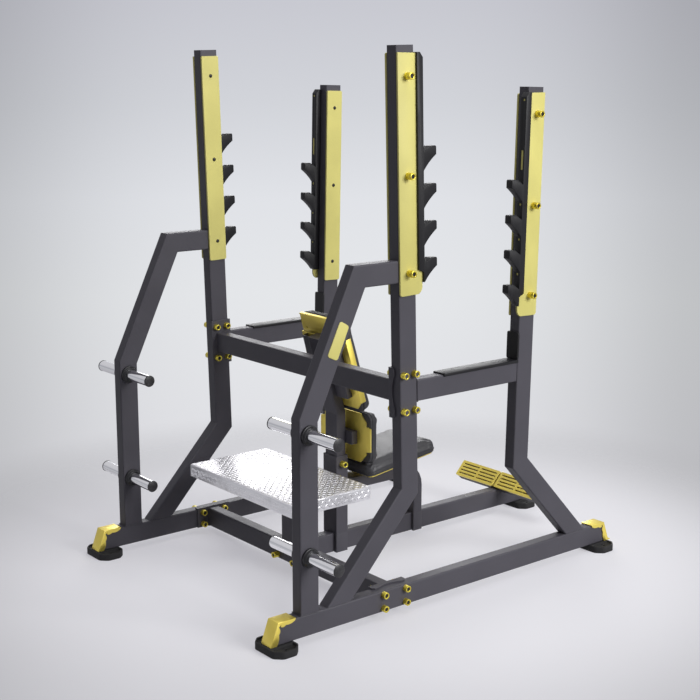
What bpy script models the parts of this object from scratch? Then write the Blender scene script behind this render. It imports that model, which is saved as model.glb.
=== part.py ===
"""A seated press rack: four leaning uprights with J-hook liners, a fixed seat and a spotter's platform.

Metres, +Z up, +Y the way the seated lifter faces, +X the lifter's right.
The origin is at the centre of the footprint, on the floor.
"""

from math import cos, pi, radians, sin, tan

import bmesh
import bpy
from mathutils import Matrix, Vector

# Fits
GAP = 0.0003               # between pieces that touch
BORE_CLEARANCE = 0.0005    # round a bar in its hole

# Rectangular tube of the frame
TUBE_WIDE = 0.050          # across the machine
TUBE_DEEP = 0.080          # along the machine
TUBE_WALL = 0.003
TUBE_CORNER = 0.005
CORNER_STEPS = 2

# Footprint
FRAME_WIDTH = 1.260        # outer faces of the base beams
FRAME_LENGTH = 1.920       # over the rubber feet
FOOT_WIDE = 0.163
FOOT_LONG = 0.110
FOOT_HIGH = 0.027
FOOT_CORNER = 0.032
FOOT_DISH = 0.005
BASE_REAR_INSET = 0.014    # lower rear corner of a base beam, in from the rear feet's edge
BASE_FRONT_INSET = 0.172   # lower front corner, in from the spine foot's edge
FRONT_FOOT_INSET = 0.226   # middle of the front feet, in from the same edge
SPINE_INSET = 0.048        # the spine's front end, in from the same edge
BASE_REAR = BASE_REAR_INSET - FRAME_LENGTH / 2
BASE_FRONT = FRAME_LENGTH / 2 - BASE_FRONT_INSET
BASE_END_SLANT = 0.032     # how far each upper corner is set in
FRONT_FOOT_Y = FRAME_LENGTH / 2 - FRONT_FOOT_INSET

# Uprights: where the face with the hooks would meet the floor, and how far the column leans
REAR_FACE_Y = -0.2676
REAR_LEAN = radians(1.56)
REAR_TOP = 2.042
REAR_BEND = 0.4605
REAR_LEG_ANGLE = radians(42.8)
FRONT_FACE_Y = 0.2042
FRONT_LEAN = radians(1.24)
FRONT_TOP = 1.899
FRONT_BEND = 0.4592
FRONT_LEG_ANGLE = radians(43.4)

# Storage frames and horns
STORAGE_Y = -0.7785
STORAGE_BEND = 0.797
STORAGE_SLANT = radians(25.2)
LINK_Z = 1.268
HORN_RADIUS = 0.0220
HORN_HEIGHTS = {"upper": 0.7486, "lower": 0.3128}
HORN_OUTER = 0.795
HORN_INNER = 0.416
HORN_CAP = 0.004
COLLAR_RADIUS = 0.035
COLLAR_LONG = 0.016
COLLAR_STEP = 0.003
COLLAR_NECK = 0.029        # radius of a collar where it ends
HORN_LIP = 0.002           # how far an end cap stands proud of the bar
TURN_STEPS = 20

# Beams
SIDE_BEAM_TOP = 0.871
LOWER_BEAM_Y = -0.3905
SADDLE_SHEET = 0.006
SADDLE_GRIP = 0.023        # how far a saddle wraps onto a tube's face
SADDLE_TALL = 0.186
LOWER_SADDLE_LONG = 0.160
BUSHING_RADIUS = 0.0105
BUSHING_LONG = 0.018
BUSHING_SINK = 0.002
UPRIGHT_BOLTS = (0.051, 0.133)    # spacing across and along the upright
BASE_BOLTS = (0.105, 0.052)
FLANGE_BOLTS = (0.124, 0.045)
FLANGE_SHEET = 0.008
FLANGE_WIDE = 0.170
BUSHING_SIDES = 12

# Hook units, measured along the upright from the top of the hook plate
PLATE_SHEET = 0.008
PLATE_LONG = 0.835
PLATE_BELOW_TOP = 0.0245
PLATE_REACH = 0.0165       # how far the hook plate stands past the upright's face
PLATE_CHAMFER = 0.018
PLATE_BOLTS = (0.079, 0.417, 0.756)
LINER_WIDE = 0.030
LINER_WALL = 0.005
HOOKS = 4
HOOK_FIRST = 0.3186
HOOK_PITCH = 0.1302
HOOK_REACH = 0.085
HOOK_FLAT = 0.028
HOOK_NOSE = 0.026
HOOK_VALLEY = 0.0194
HOOK_DEEP = 0.085
SADDLE_SAG = 0.004
SLOT_TOP = 0.2115
SLOT_LONG = 0.072
SLOT_WIDE = 0.012
WINDOW_LONG = 0.013
WINDOW_WIDE = 0.010
WINDOW_DROP = 0.100

# Limiters
STRIP_SHEET = 0.005
STRIP_REAR = -0.210
STRIP_FLANGE = 0.019
BUMPER_TALL = 0.106
BUMPER_SHEET = 0.008
BUMPER_WIDE = 0.058

# Spotter's platform
DECK_WIDE = 0.694
DECK_REAR = -0.647
DECK_FRONT = -0.265
DECK_TOP = 0.402
DECK_SKIRT = 0.052
DECK_SHEET = 0.004
PLATFORM_LEG_WIDE = 0.075
DECK_BRACKET = 0.220
BRACKET_SHEET = 0.006

# Spine, post, seat
SPINE_FRONT = FRAME_LENGTH / 2 - SPINE_INSET
POST_WIDE = 0.075
POST_DEEP = 0.048
POST_Y = -0.1675
SOCKET_TOP = 0.434
SOCKET_WALL = 0.004
SOCKET_FIT = 0.001
SOCKET_BOLT_Z = 0.401
BACK_RECLINE = radians(15.2)
POST_TOP = 0.930
SEAT_TUBE_Z = 0.306
SEAT_LEG_Y = 0.251
SEAT_BEND_RADIUS = 0.080
BEND_STEPS = 6

# Upholstery
SEAT_WIDE = 0.280
SEAT_LONG = 0.374
SEAT_THICK = 0.053
SEAT_TILT = radians(7.7)
SEAT_REAR = (-0.104, 0.3505)      # y, z of the pad's lower rear edge
SEAT_PLATE_WIDE = 0.262
SEAT_PLATE_LONG = 0.345
SEAT_PLATE_SHEET = 0.006
LUMBAR_WIDE = 0.315
LUMBAR_TALL = 0.208
LUMBAR_THICK = 0.048
LUMBAR_CENTRE = 0.5165
LUMBAR_PLATE_Y = -0.117
LUMBAR_SHEET = 0.005
LUMBAR_PLATE_WIDE = 0.266
LUMBAR_PLATE_LOW = 0.411
LUMBAR_PLATE_TOP = 0.6135
LUMBAR_PLATE_CORNER = 0.035
LUMBAR_TAB = 0.028
LUMBAR_TABS = (0.458, 0.565)
LUMBAR_BLOCK_WIDE = 0.158
LUMBAR_BLOCK = (0.484, 0.538)
BACK_FRONT_LOW = (-0.087, 0.638)  # y, z of the back pad's lower front edge
BACK_LONG = 0.402
BACK_TOP_WIDE = 0.262
BACK_LOW_WIDE = 0.294
BACK_THICK = 0.055
BACK_SHEET = 0.005
BACK_PLATE_LONG = 0.290
BACK_PLATE_FOOT = 0.004
BACK_FLANGE = 0.020
GUARD_TALL = 0.096
GUARD_LIP = 0.022
GUARD_CORNER = 0.030
PAD_CORNER = 0.034

# Foot rest
REST_WIDE = 0.486
REST_TILT = radians(47.0)
REST_LOW = (0.738, 0.118)         # y, z of the lower edge of the tread face
REST_DEEP = 0.079
REST_BAR_THICK = 0.036
REST_BAR_INSET = 0.004
TREAD_SHEET = 0.009
TREAD_SPLIT = 0.008
SLOT_ROWS = 4
SLOT_COLUMNS = 2
SLOT_HIGH = 0.006
SLOT_MARGIN = 0.012
SLOT_LAND = 0.010

# Foot clips
CLIP_SHEET = 0.004
CLIP_LONG = 0.075
CLIP_FLANGE = 0.018
CLIP_NOTCH = 0.010
CLIP_LOBE = 0.006          # depth of a scallop

# Values that follow from the sizes above
HALF_OUT = FRAME_WIDTH / 2
HALF_IN = HALF_OUT - TUBE_WIDE
TUBE_X = HALF_OUT - TUBE_WIDE / 2
BASE_TOP = FOOT_HIGH + GAP + TUBE_DEEP
BASE_LOW = FOOT_HIGH + GAP
SIDE_BEAM_Z = SIDE_BEAM_TOP - TUBE_DEEP / 2
SADDLE_X = HALF_IN - GAP - SADDLE_SHEET
LINER_FACE = PLATE_REACH + LINER_WALL
SIDES = {"right": 1, "left": -1}
CUTTER_OVER = 0.010        # cutters run this far past what they cut

# Frames of flat outlines: across the page, up the page, and out of it
FLAT = Matrix.Identity(4)
ALONG = Matrix(((0, 0, 1, 0), (1, 0, 0, 0), (0, 1, 0, 0), (0, 0, 0, 1)))     # (y, z), out along +x
FACING = Matrix(((1, 0, 0, 0), (0, 0, -1, 0), (0, 1, 0, 0), (0, 0, 0, 1)))   # (x, z), out along -y

COLOURS = {
    "frame": ((0.075, 0.072, 0.082), 0.55, 0.0),
    "yellow": ((0.86, 0.76, 0.28), 0.45, 0.0),
    "liner": ((0.012, 0.012, 0.013), 0.42, 0.0),
    "vinyl": ((0.016, 0.016, 0.017), 0.50, 0.0),
    "rubber": ((0.020, 0.020, 0.021), 0.85, 0.0),
    "chrome": ((0.80, 0.80, 0.81), 0.12, 1.0),
    "deck": ((0.62, 0.62, 0.63), 0.35, 1.0),
}


def clear_scene():
    for item in list(bpy.context.scene.objects):
        bpy.data.objects.remove(item, do_unlink=True)


def new_collection(name):
    collection = bpy.data.collections.new(name)
    bpy.context.scene.collection.children.link(collection)
    return collection


def new_material(name):
    colour, roughness, metallic = COLOURS[name]
    material = bpy.data.materials.new(name)
    material.use_nodes = True
    shader = material.node_tree.nodes["Principled BSDF"]
    shader.inputs["Base Color"].default_value = (*colour, 1)
    shader.inputs["Roughness"].default_value = roughness
    shader.inputs["Metallic"].default_value = metallic
    return material


clear_scene()
PARTS = new_collection("seated_press_rack")
CUTTERS = new_collection("cutters")
MATERIALS = {name: new_material(name) for name in COLOURS}


# ---- shapes ----------------------------------------------------------------------------------------------

def prism(outline, low, high, holes=()):
    """A flat outline, with holes, drawn as a 2D curve and extruded between two heights: a welded mesh."""
    curve = bpy.data.curves.new("outline", "CURVE")
    curve.dimensions = "2D"
    curve.fill_mode = "BOTH"
    curve.extrude = (high - low) / 2
    for ring in (outline, *holes):
        spline = curve.splines.new("POLY")
        spline.points.add(len(ring) - 1)
        for point, (across, up) in zip(spline.points, ring):
            point.co = (across, up, 0, 1)
        spline.use_cyclic_u = True
    drawn = bpy.data.objects.new("outline", curve)
    bpy.context.scene.collection.objects.link(drawn)
    shape = bmesh.new()
    evaluated = drawn.evaluated_get(bpy.context.evaluated_depsgraph_get())
    shape.from_mesh(bpy.data.meshes.new_from_object(evaluated))
    bpy.data.objects.remove(drawn)
    bmesh.ops.remove_doubles(shape, verts=shape.verts, dist=0.00001)
    bmesh.ops.dissolve_limit(shape, angle_limit=radians(0.5), verts=shape.verts, edges=shape.edges)
    bmesh.ops.translate(shape, verts=shape.verts, vec=(0, 0, (low + high) / 2))
    bmesh.ops.recalc_face_normals(shape, faces=shape.faces)
    return shape


def block(low, high):
    """A box between two corners."""
    shape = bmesh.new()
    bmesh.ops.create_cube(shape, size=1)
    low, high = Vector(low), Vector(high)
    bmesh.ops.scale(shape, verts=shape.verts, vec=high - low)
    bmesh.ops.translate(shape, verts=shape.verts, vec=(low + high) / 2)
    return shape


def rod(radius, low, high, sides):
    """A cylinder along local Z between two heights."""
    shape = bmesh.new()
    bmesh.ops.create_cone(shape, cap_ends=True, segments=sides, radius1=radius, radius2=radius,
                          depth=high - low)
    bmesh.ops.translate(shape, verts=shape.verts, vec=(0, 0, (low + high) / 2))
    return shape


def place(shape, name, frame, collection):
    mesh = bpy.data.meshes.new(name)
    shape.to_mesh(mesh)
    shape.free()
    item = bpy.data.objects.new(name, mesh)
    item.matrix_world = frame
    collection.objects.link(item)
    return item


def keep(shape, name, material, frame=FLAT):
    """Put a finished shape in the model as a named piece."""
    item = place(shape, name, frame, PARTS)
    item.data.materials.append(MATERIALS[material])
    return item


def carve(item, shape, frame=FLAT, operation="DIFFERENCE"):
    """Cut a shape from a piece, or join it on."""
    tool = place(shape, item.name + "_tool", frame, CUTTERS)
    tool.hide_render = True
    tool.display_type = "WIRE"
    modifier = item.modifiers.new(operation.lower(), "BOOLEAN")
    modifier.operation = operation
    modifier.solver = "EXACT"
    modifier.object = tool


def join(item, shape, frame=FLAT):
    carve(item, shape, frame, "UNION")


def arc(start, end, sag, steps):
    """Points from start to end along a shallow arc; sag is its rise to the left of that way."""
    start, end = Vector(start), Vector(end)
    chord = end - start
    half = chord.length / 2
    radius = (half * half + sag * sag) / (2 * abs(sag))
    normal = Vector((-chord.y, chord.x)).normalized() * (1 if sag > 0 else -1)
    centre = (start + end) / 2 - normal * (radius - abs(sag))
    first = start - centre
    turn = first.angle_signed(end - centre)
    points = []
    for step in range(steps + 1):
        angle = -turn * step / steps
        points.append(tuple(centre + Matrix.Rotation(angle, 2) @ first))
    return points


def rounded(corners, radius, steps=4):
    """Round every corner of a convex outline."""
    points = []
    count = len(corners)
    for index in range(count):
        corner = Vector(corners[index])
        before = (Vector(corners[index - 1]) - corner).normalized()
        after = (Vector(corners[(index + 1) % count]) - corner).normalized()
        half = before.angle(after) / 2
        reach = radius / tan(half)
        centre = corner + (before + after).normalized() * (radius / sin(half))
        first = corner + before * reach - centre
        turn = first.angle_signed(corner + after * reach - centre)
        points += [tuple(centre + Matrix.Rotation(-turn * step / steps, 2) @ first)
                   for step in range(steps + 1)]
    return points


def box_outline(left, low, right, high):
    return [(left, low), (right, low), (right, high), (left, high)]


def ribbon(path, depth, first_cut=None, last_cut=None):
    """Offset a bent centre line both ways, mitred at its bends. Returns the outline and its two end edges."""
    points = [Vector(point) for point in path]
    runs = [(b - a).normalized() for a, b in zip(points, points[1:])]
    normals = [Vector((-run.y, run.x)) for run in runs]
    cuts = [normals[0]] + [(a + b).normalized() for a, b in zip(normals, normals[1:])] + [normals[-1]]
    if first_cut:
        cuts[0] = Vector(first_cut)
    if last_cut:
        cuts[-1] = Vector(last_cut)
    offsets = [cut * (depth / 2 / cut.dot(normal)) for cut, normal in zip(cuts, [normals[0], *normals])]
    left = [tuple(point + offset) for point, offset in zip(points, offsets)]
    right = [tuple(point - offset) for point, offset in zip(points, offsets)]
    return left + right[::-1], [points[0], points[-1]]


def stretched(path, first, last):
    """Lengthen a path's first and last runs; a negative length shortens."""
    points = [Vector(point) for point in path]
    head = (points[0] - points[1]).normalized() * first
    tail = (points[-1] - points[-2]).normalized() * last
    return [points[0] + head, *points[1:-1], points[-1] + tail]


def round_long_edges(shape, ends, radius):
    """Round a tube's long edges: those of its two flat sides, except where an end is cut."""
    edges = []
    for edge in shape.edges:
        a, b = (vert.co for vert in edge.verts)
        middle = (a + b) / 2
        at_end = min((middle.xy - end).length for end in ends) < 0.0001
        if abs(a.z - b.z) < 0.0001 and not at_end:
            edges.append(edge)
    bmesh.ops.bevel(shape, geom=edges, offset=radius, segments=CORNER_STEPS, affect="EDGES", profile=0.5,
                    material=-1)


def tube_shell(name, path, frame, wide, deep, cuts=(None, None)):
    """A rectangular tube along a bent path, still solid, with its long edges rounded."""
    outline, ends = ribbon(path, deep, *cuts)
    shape = prism(outline, -wide / 2, wide / 2)
    round_long_edges(shape, ends, TUBE_CORNER)
    return keep(shape, name, "frame", frame)


def hollow(item, path, frame, wide, deep, open_ends, cuts=(None, None)):
    """Cut a tube's bore, which runs out at the ends that are named open."""
    run_out = [CUTTER_OVER if is_open else -TUBE_WALL for is_open in open_ends]
    bore, _ = ribbon(stretched(path, *run_out), deep - 2 * TUBE_WALL, *cuts)
    carve(item, prism(bore, TUBE_WALL - wide / 2, wide / 2 - TUBE_WALL), frame)


def tube(name, path, frame, wide, deep, open_ends, cuts=(None, None)):
    item = tube_shell(name, path, frame, wide, deep, cuts)
    hollow(item, path, frame, wide, deep, open_ends, cuts)
    return item


def curved(path, radius):
    """Round the middle point of a three-point path into an arc."""
    start, corner, end = (Vector(point) for point in path)
    before = (start - corner).normalized()
    after = (end - corner).normalized()
    half = before.angle(after) / 2
    centre = corner + (before + after).normalized() * (radius / sin(half))
    first = corner + before * (radius / tan(half)) - centre
    turn = first.angle_signed(corner + after * (radius / tan(half)) - centre)
    bend = [centre + Matrix.Rotation(-turn * step / BEND_STEPS, 2) @ first for step in range(BEND_STEPS + 1)]
    return [start, *bend, end]


def span(side, inner, outer):
    """The x range of a piece between two distances from the machine's middle, on the right or the left."""
    return (inner, outer) if side > 0 else (-outer, -inner)


# ---- base ------------------------------------------------------------------------------------------------

def base_outline(low, high, extend=0.0):
    """A base beam seen from the side, between two heights: both ends slant in going up."""
    def inset(z):
        return BASE_END_SLANT / TUBE_DEEP * (z - BASE_LOW) - extend

    return [(BASE_REAR + inset(low), low), (BASE_FRONT - inset(low), low),
            (BASE_FRONT - inset(high), high), (BASE_REAR + inset(high), high)]


def build_base_beams():
    for word, side in SIDES.items():
        outline = base_outline(BASE_LOW, BASE_TOP)
        shape = prism(outline, -TUBE_WIDE / 2, TUBE_WIDE / 2)
        ends = [(Vector(outline[1]) + Vector(outline[2])) / 2, (Vector(outline[3]) + Vector(outline[0])) / 2]
        round_long_edges(shape, ends, TUBE_CORNER)
        frame = Matrix.Translation((side * TUBE_X, 0, 0)) @ ALONG
        beam = keep(shape, "base_beam_" + word, "frame", frame)
        bore = base_outline(BASE_LOW + TUBE_WALL, BASE_TOP - TUBE_WALL, CUTTER_OVER)
        carve(beam, prism(bore, -TUBE_WIDE / 2 + TUBE_WALL, TUBE_WIDE / 2 - TUBE_WALL), frame)
        for along in (-1, 1):
            for up in (-1, 1):
                centre = (side * HALF_OUT, LOWER_BEAM_Y + along * BASE_BOLTS[0] / 2,
                          BASE_LOW + TUBE_DEEP / 2 + up * BASE_BOLTS[1] / 2)
                join(beam, rod(BUSHING_RADIUS, -BUSHING_SINK, BUSHING_LONG / 2, BUSHING_SIDES),
                     Matrix.Translation(centre) @ Matrix.Rotation(side * pi / 2, 4, "Y"))


def foot_centres():
    """Where the five rubber feet stand, by name."""
    rear = -FRAME_LENGTH / 2 + FOOT_LONG / 2
    centres = {"spine": (0, -rear)}
    for word, side in SIDES.items():
        centres["rear_" + word] = (side * TUBE_X, rear)
        centres["front_" + word] = (side * TUBE_X, FRONT_FOOT_Y)
    return centres


def build_feet():
    """Rubber blocks with clipped corners and a shallow dish in the top."""
    for name, (x, y) in foot_centres().items():
        half_wide, half_long = FOOT_WIDE / 2, FOOT_LONG / 2
        outline = rounded(box_outline(-half_wide, -half_long, half_wide, half_long), FOOT_CORNER, 3)
        spot = Matrix.Translation((x, y, 0))
        foot = keep(prism(outline, 0, FOOT_HIGH), "rubber_foot_" + name, "rubber", spot)
        seat = TUBE_WIDE / 2 + CLIP_SHEET + 2 * GAP
        for sign in (-1, 1):
            low, high = sorted((sign * (seat + 0.004), sign * (half_wide - 0.010)))
            dish = rounded(box_outline(low, -half_long + 0.012, high, half_long - 0.012), 0.012, 3)
            carve(foot, prism(dish, FOOT_HIGH - FOOT_DISH, FOOT_HIGH + FOOT_DISH), spot)


def clip_outline(end, sign):
    """A foot clip seen from the side: an end strip and a top strip, scalloped, with a notch between."""
    slope = BASE_END_SLANT / TUBE_DEEP
    out = GAP + CLIP_SHEET
    low, high = BASE_LOW + CLIP_SHEET, BASE_TOP + out

    def along(inset, z):
        return end - sign * (inset + slope * (z - BASE_LOW))

    flange = CLIP_FLANGE
    under = BASE_TOP - flange
    corner_z = BASE_TOP - CLIP_NOTCH
    far = CLIP_LONG
    shoulder = (along(far, BASE_TOP), BASE_TOP - CLIP_LOBE)
    waist = (along(far * 0.55, BASE_TOP), under + CLIP_LOBE)
    top_run = [(along(far, BASE_TOP), high), shoulder]
    scallop_top = arc(shoulder, waist, CLIP_LOBE, 4)
    scallop_mid = arc(waist, (along(far * 0.30, BASE_TOP), under), -CLIP_LOBE / 2, 3)
    notch = [(along(far * 0.24, BASE_TOP), corner_z), (along(flange * 0.5, corner_z), corner_z)]
    lower = arc((along(flange, under), under), (along(flange * 0.35, low), low), 0.004, 4)
    points = top_run + scallop_top[1:] + scallop_mid[1:] + notch + lower + [
        (along(-out, low), low),
        (along(-out, high), high),
    ]
    return points


def build_foot_clips():
    ends = {"rear": (BASE_REAR, -1), "front": (BASE_FRONT, 1)}
    half = TUBE_WIDE / 2 + GAP + CLIP_SHEET
    for place_word, (end, sign) in ends.items():
        for word, side in SIDES.items():
            frame = Matrix.Translation((side * TUBE_X, 0, 0)) @ ALONG
            outline = clip_outline(end, sign)
            clip = keep(prism(outline, -half, half), f"foot_clip_{place_word}_{word}", "yellow", frame)
            inside = base_outline(BASE_LOW - CUTTER_OVER, BASE_TOP + GAP, GAP)
            carve(clip, prism(inside, -half + CLIP_SHEET, half - CLIP_SHEET), frame)


# ---- uprights --------------------------------------------------------------------------------------------

class Upright:
    """One leaning column. Its own frame has +y out of the hooked face and +z up along the column."""

    def __init__(self, word, facing, face_y, lean, top, bend, leg_angle):
        self.word = word
        self.facing = facing
        self.face_y = face_y
        self.lean = lean
        self.top = top
        self.bend = bend
        self.leg_angle = leg_angle
        turn = Matrix.Identity(4) if facing > 0 else Matrix.Rotation(pi, 4, "Z")
        self.frame = Matrix.Translation((0, face_y, 0)) @ turn @ Matrix.Rotation(lean, 4, "X")

    def face_at(self, z, out=0.0):
        """World y of the hooked face, or of a line parallel to it, at a height."""
        return self.face_y + self.facing * (out / cos(self.lean) - z * tan(self.lean))

    def path(self):
        """The tube's centre line in world y and z, from the base up."""
        middle = -TUBE_DEEP / 2
        foot_z = BASE_TOP + GAP
        bend = (self.face_at(self.bend, middle), self.bend)
        drop = self.bend - foot_z
        foot = (bend[0] - self.facing * drop * tan(self.leg_angle), foot_z)
        end = self.top - TUBE_DEEP / 2 * sin(self.lean)
        return [foot, bend, (self.face_at(end, middle), end)]

    def x_range(self, side, inner, outer):
        """An x range in the column's own frame, which is turned round for the front columns."""
        return span(side * self.facing, inner, outer)

    def plate_top(self):
        """Height along the column of the hook plate's top edge."""
        return self.top / cos(self.lean) - PLATE_BELOW_TOP


UPRIGHTS = (
    Upright("rear", 1, REAR_FACE_Y, REAR_LEAN, REAR_TOP, REAR_BEND, REAR_LEG_ANGLE),
    Upright("front", -1, FRONT_FACE_Y, FRONT_LEAN, FRONT_TOP, FRONT_BEND, FRONT_LEG_ANGLE),
)
REAR, FRONT = UPRIGHTS


def build_uprights():
    for upright in UPRIGHTS:
        for word, side in SIDES.items():
            name = f"{upright.word}_upright_{word}"
            frame = Matrix.Translation((side * TUBE_X, 0, 0)) @ ALONG
            column = tube(name, upright.path(), frame, TUBE_WIDE, TUBE_DEEP, (True, False), ((1, 0), None))
            if upright is REAR:
                add_beam_bushings(column, side)


def add_beam_bushings(column, side):
    """The four bushings on the outer face that clamp the middle cross beam's saddle."""
    middle_z = SIDE_BEAM_Z / cos(REAR.lean)
    for across in (-1, 1):
        for up in (-1, 1):
            centre = Vector((side * HALF_OUT, -TUBE_DEEP / 2 + across * UPRIGHT_BOLTS[0] / 2,
                             middle_z + up * UPRIGHT_BOLTS[1] / 2))
            join(column, rod(BUSHING_RADIUS, -BUSHING_SINK, BUSHING_LONG, BUSHING_SIDES),
                 REAR.frame @ Matrix.Translation(centre) @ Matrix.Rotation(side * pi / 2, 4, "Y"))


def build_side_beams():
    """Straight tubes between the columns; each end is cut to the lean of the column that it meets."""
    rear_end = (REAR.face_at(SIDE_BEAM_Z, GAP), SIDE_BEAM_Z)
    front_end = (FRONT.face_at(SIDE_BEAM_Z, GAP), SIDE_BEAM_Z)
    cuts = ((-sin(REAR.lean), cos(REAR.lean)), (sin(FRONT.lean), cos(FRONT.lean)))
    for word, side in SIDES.items():
        frame = Matrix.Translation((side * TUBE_X, 0, 0)) @ ALONG
        tube("side_beam_" + word, [rear_end, front_end], frame, TUBE_WIDE, TUBE_DEEP, (True, True), cuts)


# ---- storage ---------------------------------------------------------------------------------------------

def build_storage_frames():
    rise = LINK_Z - STORAGE_BEND
    corner = (STORAGE_Y + rise * tan(STORAGE_SLANT), LINK_Z)
    end = (REAR.face_at(LINK_Z, -TUBE_DEEP - GAP), LINK_Z)
    path = [(STORAGE_Y, BASE_TOP + GAP), (STORAGE_Y, STORAGE_BEND), corner, end]
    cuts = (None, (-sin(REAR.lean), cos(REAR.lean)))
    for word, side in SIDES.items():
        frame = Matrix.Translation((side * TUBE_X, 0, 0)) @ ALONG
        item = tube("storage_frame_" + word, path, frame, TUBE_WIDE, TUBE_DEEP, (True, True), cuts)
        for height in HORN_HEIGHTS.values():
            reach = TUBE_WIDE / 2 + CUTTER_OVER
            carve(item, rod(HORN_RADIUS + BORE_CLEARANCE, -reach, reach, TURN_STEPS),
                  Matrix.Translation((side * TUBE_X, STORAGE_Y, height)) @ Matrix.Rotation(pi / 2, 4, "Y"))


def horn_profile():
    """Half of a storage horn as radius and distance from the machine's middle, from the outer end inwards."""
    step, cap_radius = COLLAR_STEP, HORN_RADIUS + HORN_LIP
    outer_face, inner_face = HALF_OUT + GAP, HALF_IN - GAP
    return [
        (0, HORN_OUTER),
        (cap_radius, HORN_OUTER),
        (cap_radius, HORN_OUTER - HORN_CAP),
        (HORN_RADIUS, HORN_OUTER - HORN_CAP),
        (HORN_RADIUS, outer_face + COLLAR_LONG),
        (COLLAR_NECK, outer_face + COLLAR_LONG),
        (COLLAR_RADIUS - step, outer_face + COLLAR_LONG - step),
        (COLLAR_RADIUS, outer_face + COLLAR_LONG / 2),
        (COLLAR_RADIUS, outer_face),
        (HORN_RADIUS, outer_face),
        (HORN_RADIUS, inner_face),
        (COLLAR_RADIUS, inner_face),
        (COLLAR_RADIUS, inner_face - COLLAR_LONG / 2),
        (COLLAR_RADIUS - step, inner_face - COLLAR_LONG + step),
        (COLLAR_NECK, inner_face - COLLAR_LONG),
        (HORN_RADIUS, inner_face - COLLAR_LONG),
        (HORN_RADIUS, HORN_INNER + HORN_CAP),
        (cap_radius, HORN_INNER + HORN_CAP),
        (cap_radius, HORN_INNER),
        (0, HORN_INNER),
    ]


def build_horns():
    """Chromed bars through the storage posts, with a collar on each face and a cap on each end."""
    for level, height in HORN_HEIGHTS.items():
        for word, side in SIDES.items():
            name = f"storage_horn_{level}_{word}"
            mesh = bpy.data.meshes.new(name)
            profile = horn_profile()
            mesh.from_pydata([(radius, 0, along) for radius, along in profile],
                             [(i, i + 1) for i in range(len(profile) - 1)], [])
            horn = bpy.data.objects.new(name, mesh)
            turn = Matrix.Rotation(side * pi / 2, 4, "Y")
            horn.matrix_world = Matrix.Translation((0, STORAGE_Y, height)) @ turn
            PARTS.objects.link(horn)
            mesh.materials.append(MATERIALS["chrome"])
            screw = horn.modifiers.new("turn", "SCREW")
            screw.steps = TURN_STEPS
            screw.render_steps = TURN_STEPS
            screw.use_merge_vertices = True
            screw.merge_threshold = 0.00001


# ---- cross beams -----------------------------------------------------------------------------------------

def saddle_outline(grip_side, length, plate_x, grip_x):
    """A saddle's flange seen square on: straight along the plate, scalloped along the free edge."""
    half = length / 2
    bite = SADDLE_GRIP * 0.55
    edge = grip_side * grip_x
    lobe = half * 0.30
    waist = arc((edge, -half + lobe), (edge, half - lobe), grip_side * bite, 6)
    return [(grip_side * plate_x, -half), *rounded_ear(edge, -half, grip_side), *waist,
            *rounded_ear(edge, half, grip_side)[::-1], (grip_side * plate_x, half)]


def rounded_ear(edge, end, grip_side):
    """The clipped outer corner of a saddle's flange."""
    clip = SADDLE_GRIP * 0.4
    inward = -1 if end > 0 else 1
    return [(edge - grip_side * clip, end), (edge, end + inward * clip)]


def build_mid_cross_beam():
    """A tube between the rear columns, with a saddle plate wrapped round each column."""
    middle = Vector((0, -TUBE_DEEP / 2, SIDE_BEAM_Z / cos(REAR.lean)))
    frame = REAR.frame @ Matrix.Translation(middle)
    reach = SADDLE_X + SADDLE_SHEET / 2
    path = [(-reach, 0), (reach, 0)]
    beam = tube_shell("mid_cross_beam", path, frame @ FACING, TUBE_WIDE, TUBE_DEEP)
    half_deep = TUBE_DEEP / 2 + GAP
    wrap = half_deep + SADDLE_SHEET
    for side in SIDES.values():
        outline = saddle_outline(side, SADDLE_TALL, SADDLE_X, HALF_IN + SADDLE_GRIP)
        saddle = prism(outline, -wrap, wrap)
        holder = place(saddle, "saddle_tool", frame @ FACING, CUTTERS)
        near, far = span(side, 0, TUBE_WIDE)
        cut_holder(holder, block((near, -half_deep, -SADDLE_TALL), (far, half_deep, SADDLE_TALL)),
                   frame @ Matrix.Translation((side * (HALF_IN - GAP), 0, 0)))
        slot = SIDE_BEAM_Z
        cut_holder(holder, block((-TUBE_WIDE, -TUBE_DEEP / 2, slot - TUBE_DEEP / 2 - CUTTER_OVER / 2),
                                 (TUBE_WIDE, TUBE_DEEP, slot + TUBE_DEEP / 2 + CUTTER_OVER / 2)),
                   Matrix.Translation((side * (HALF_IN - GAP + TUBE_WIDE), REAR.face_at(slot), 0)))
        attach(beam, holder)
    hollow(beam, path, frame @ FACING, TUBE_WIDE, TUBE_DEEP, (True, True))


def cut_holder(holder, shape, frame):
    tool = place(shape, "saddle_cut", frame, CUTTERS)
    tool.hide_render = True
    tool.display_type = "WIRE"
    modifier = holder.modifiers.new("difference", "BOOLEAN")
    modifier.operation = "DIFFERENCE"
    modifier.solver = "EXACT"
    modifier.object = tool


def attach(item, holder):
    holder.hide_render = True
    holder.display_type = "WIRE"
    modifier = item.modifiers.new("union", "BOOLEAN")
    modifier.operation = "UNION"
    modifier.solver = "EXACT"
    modifier.object = holder


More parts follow.
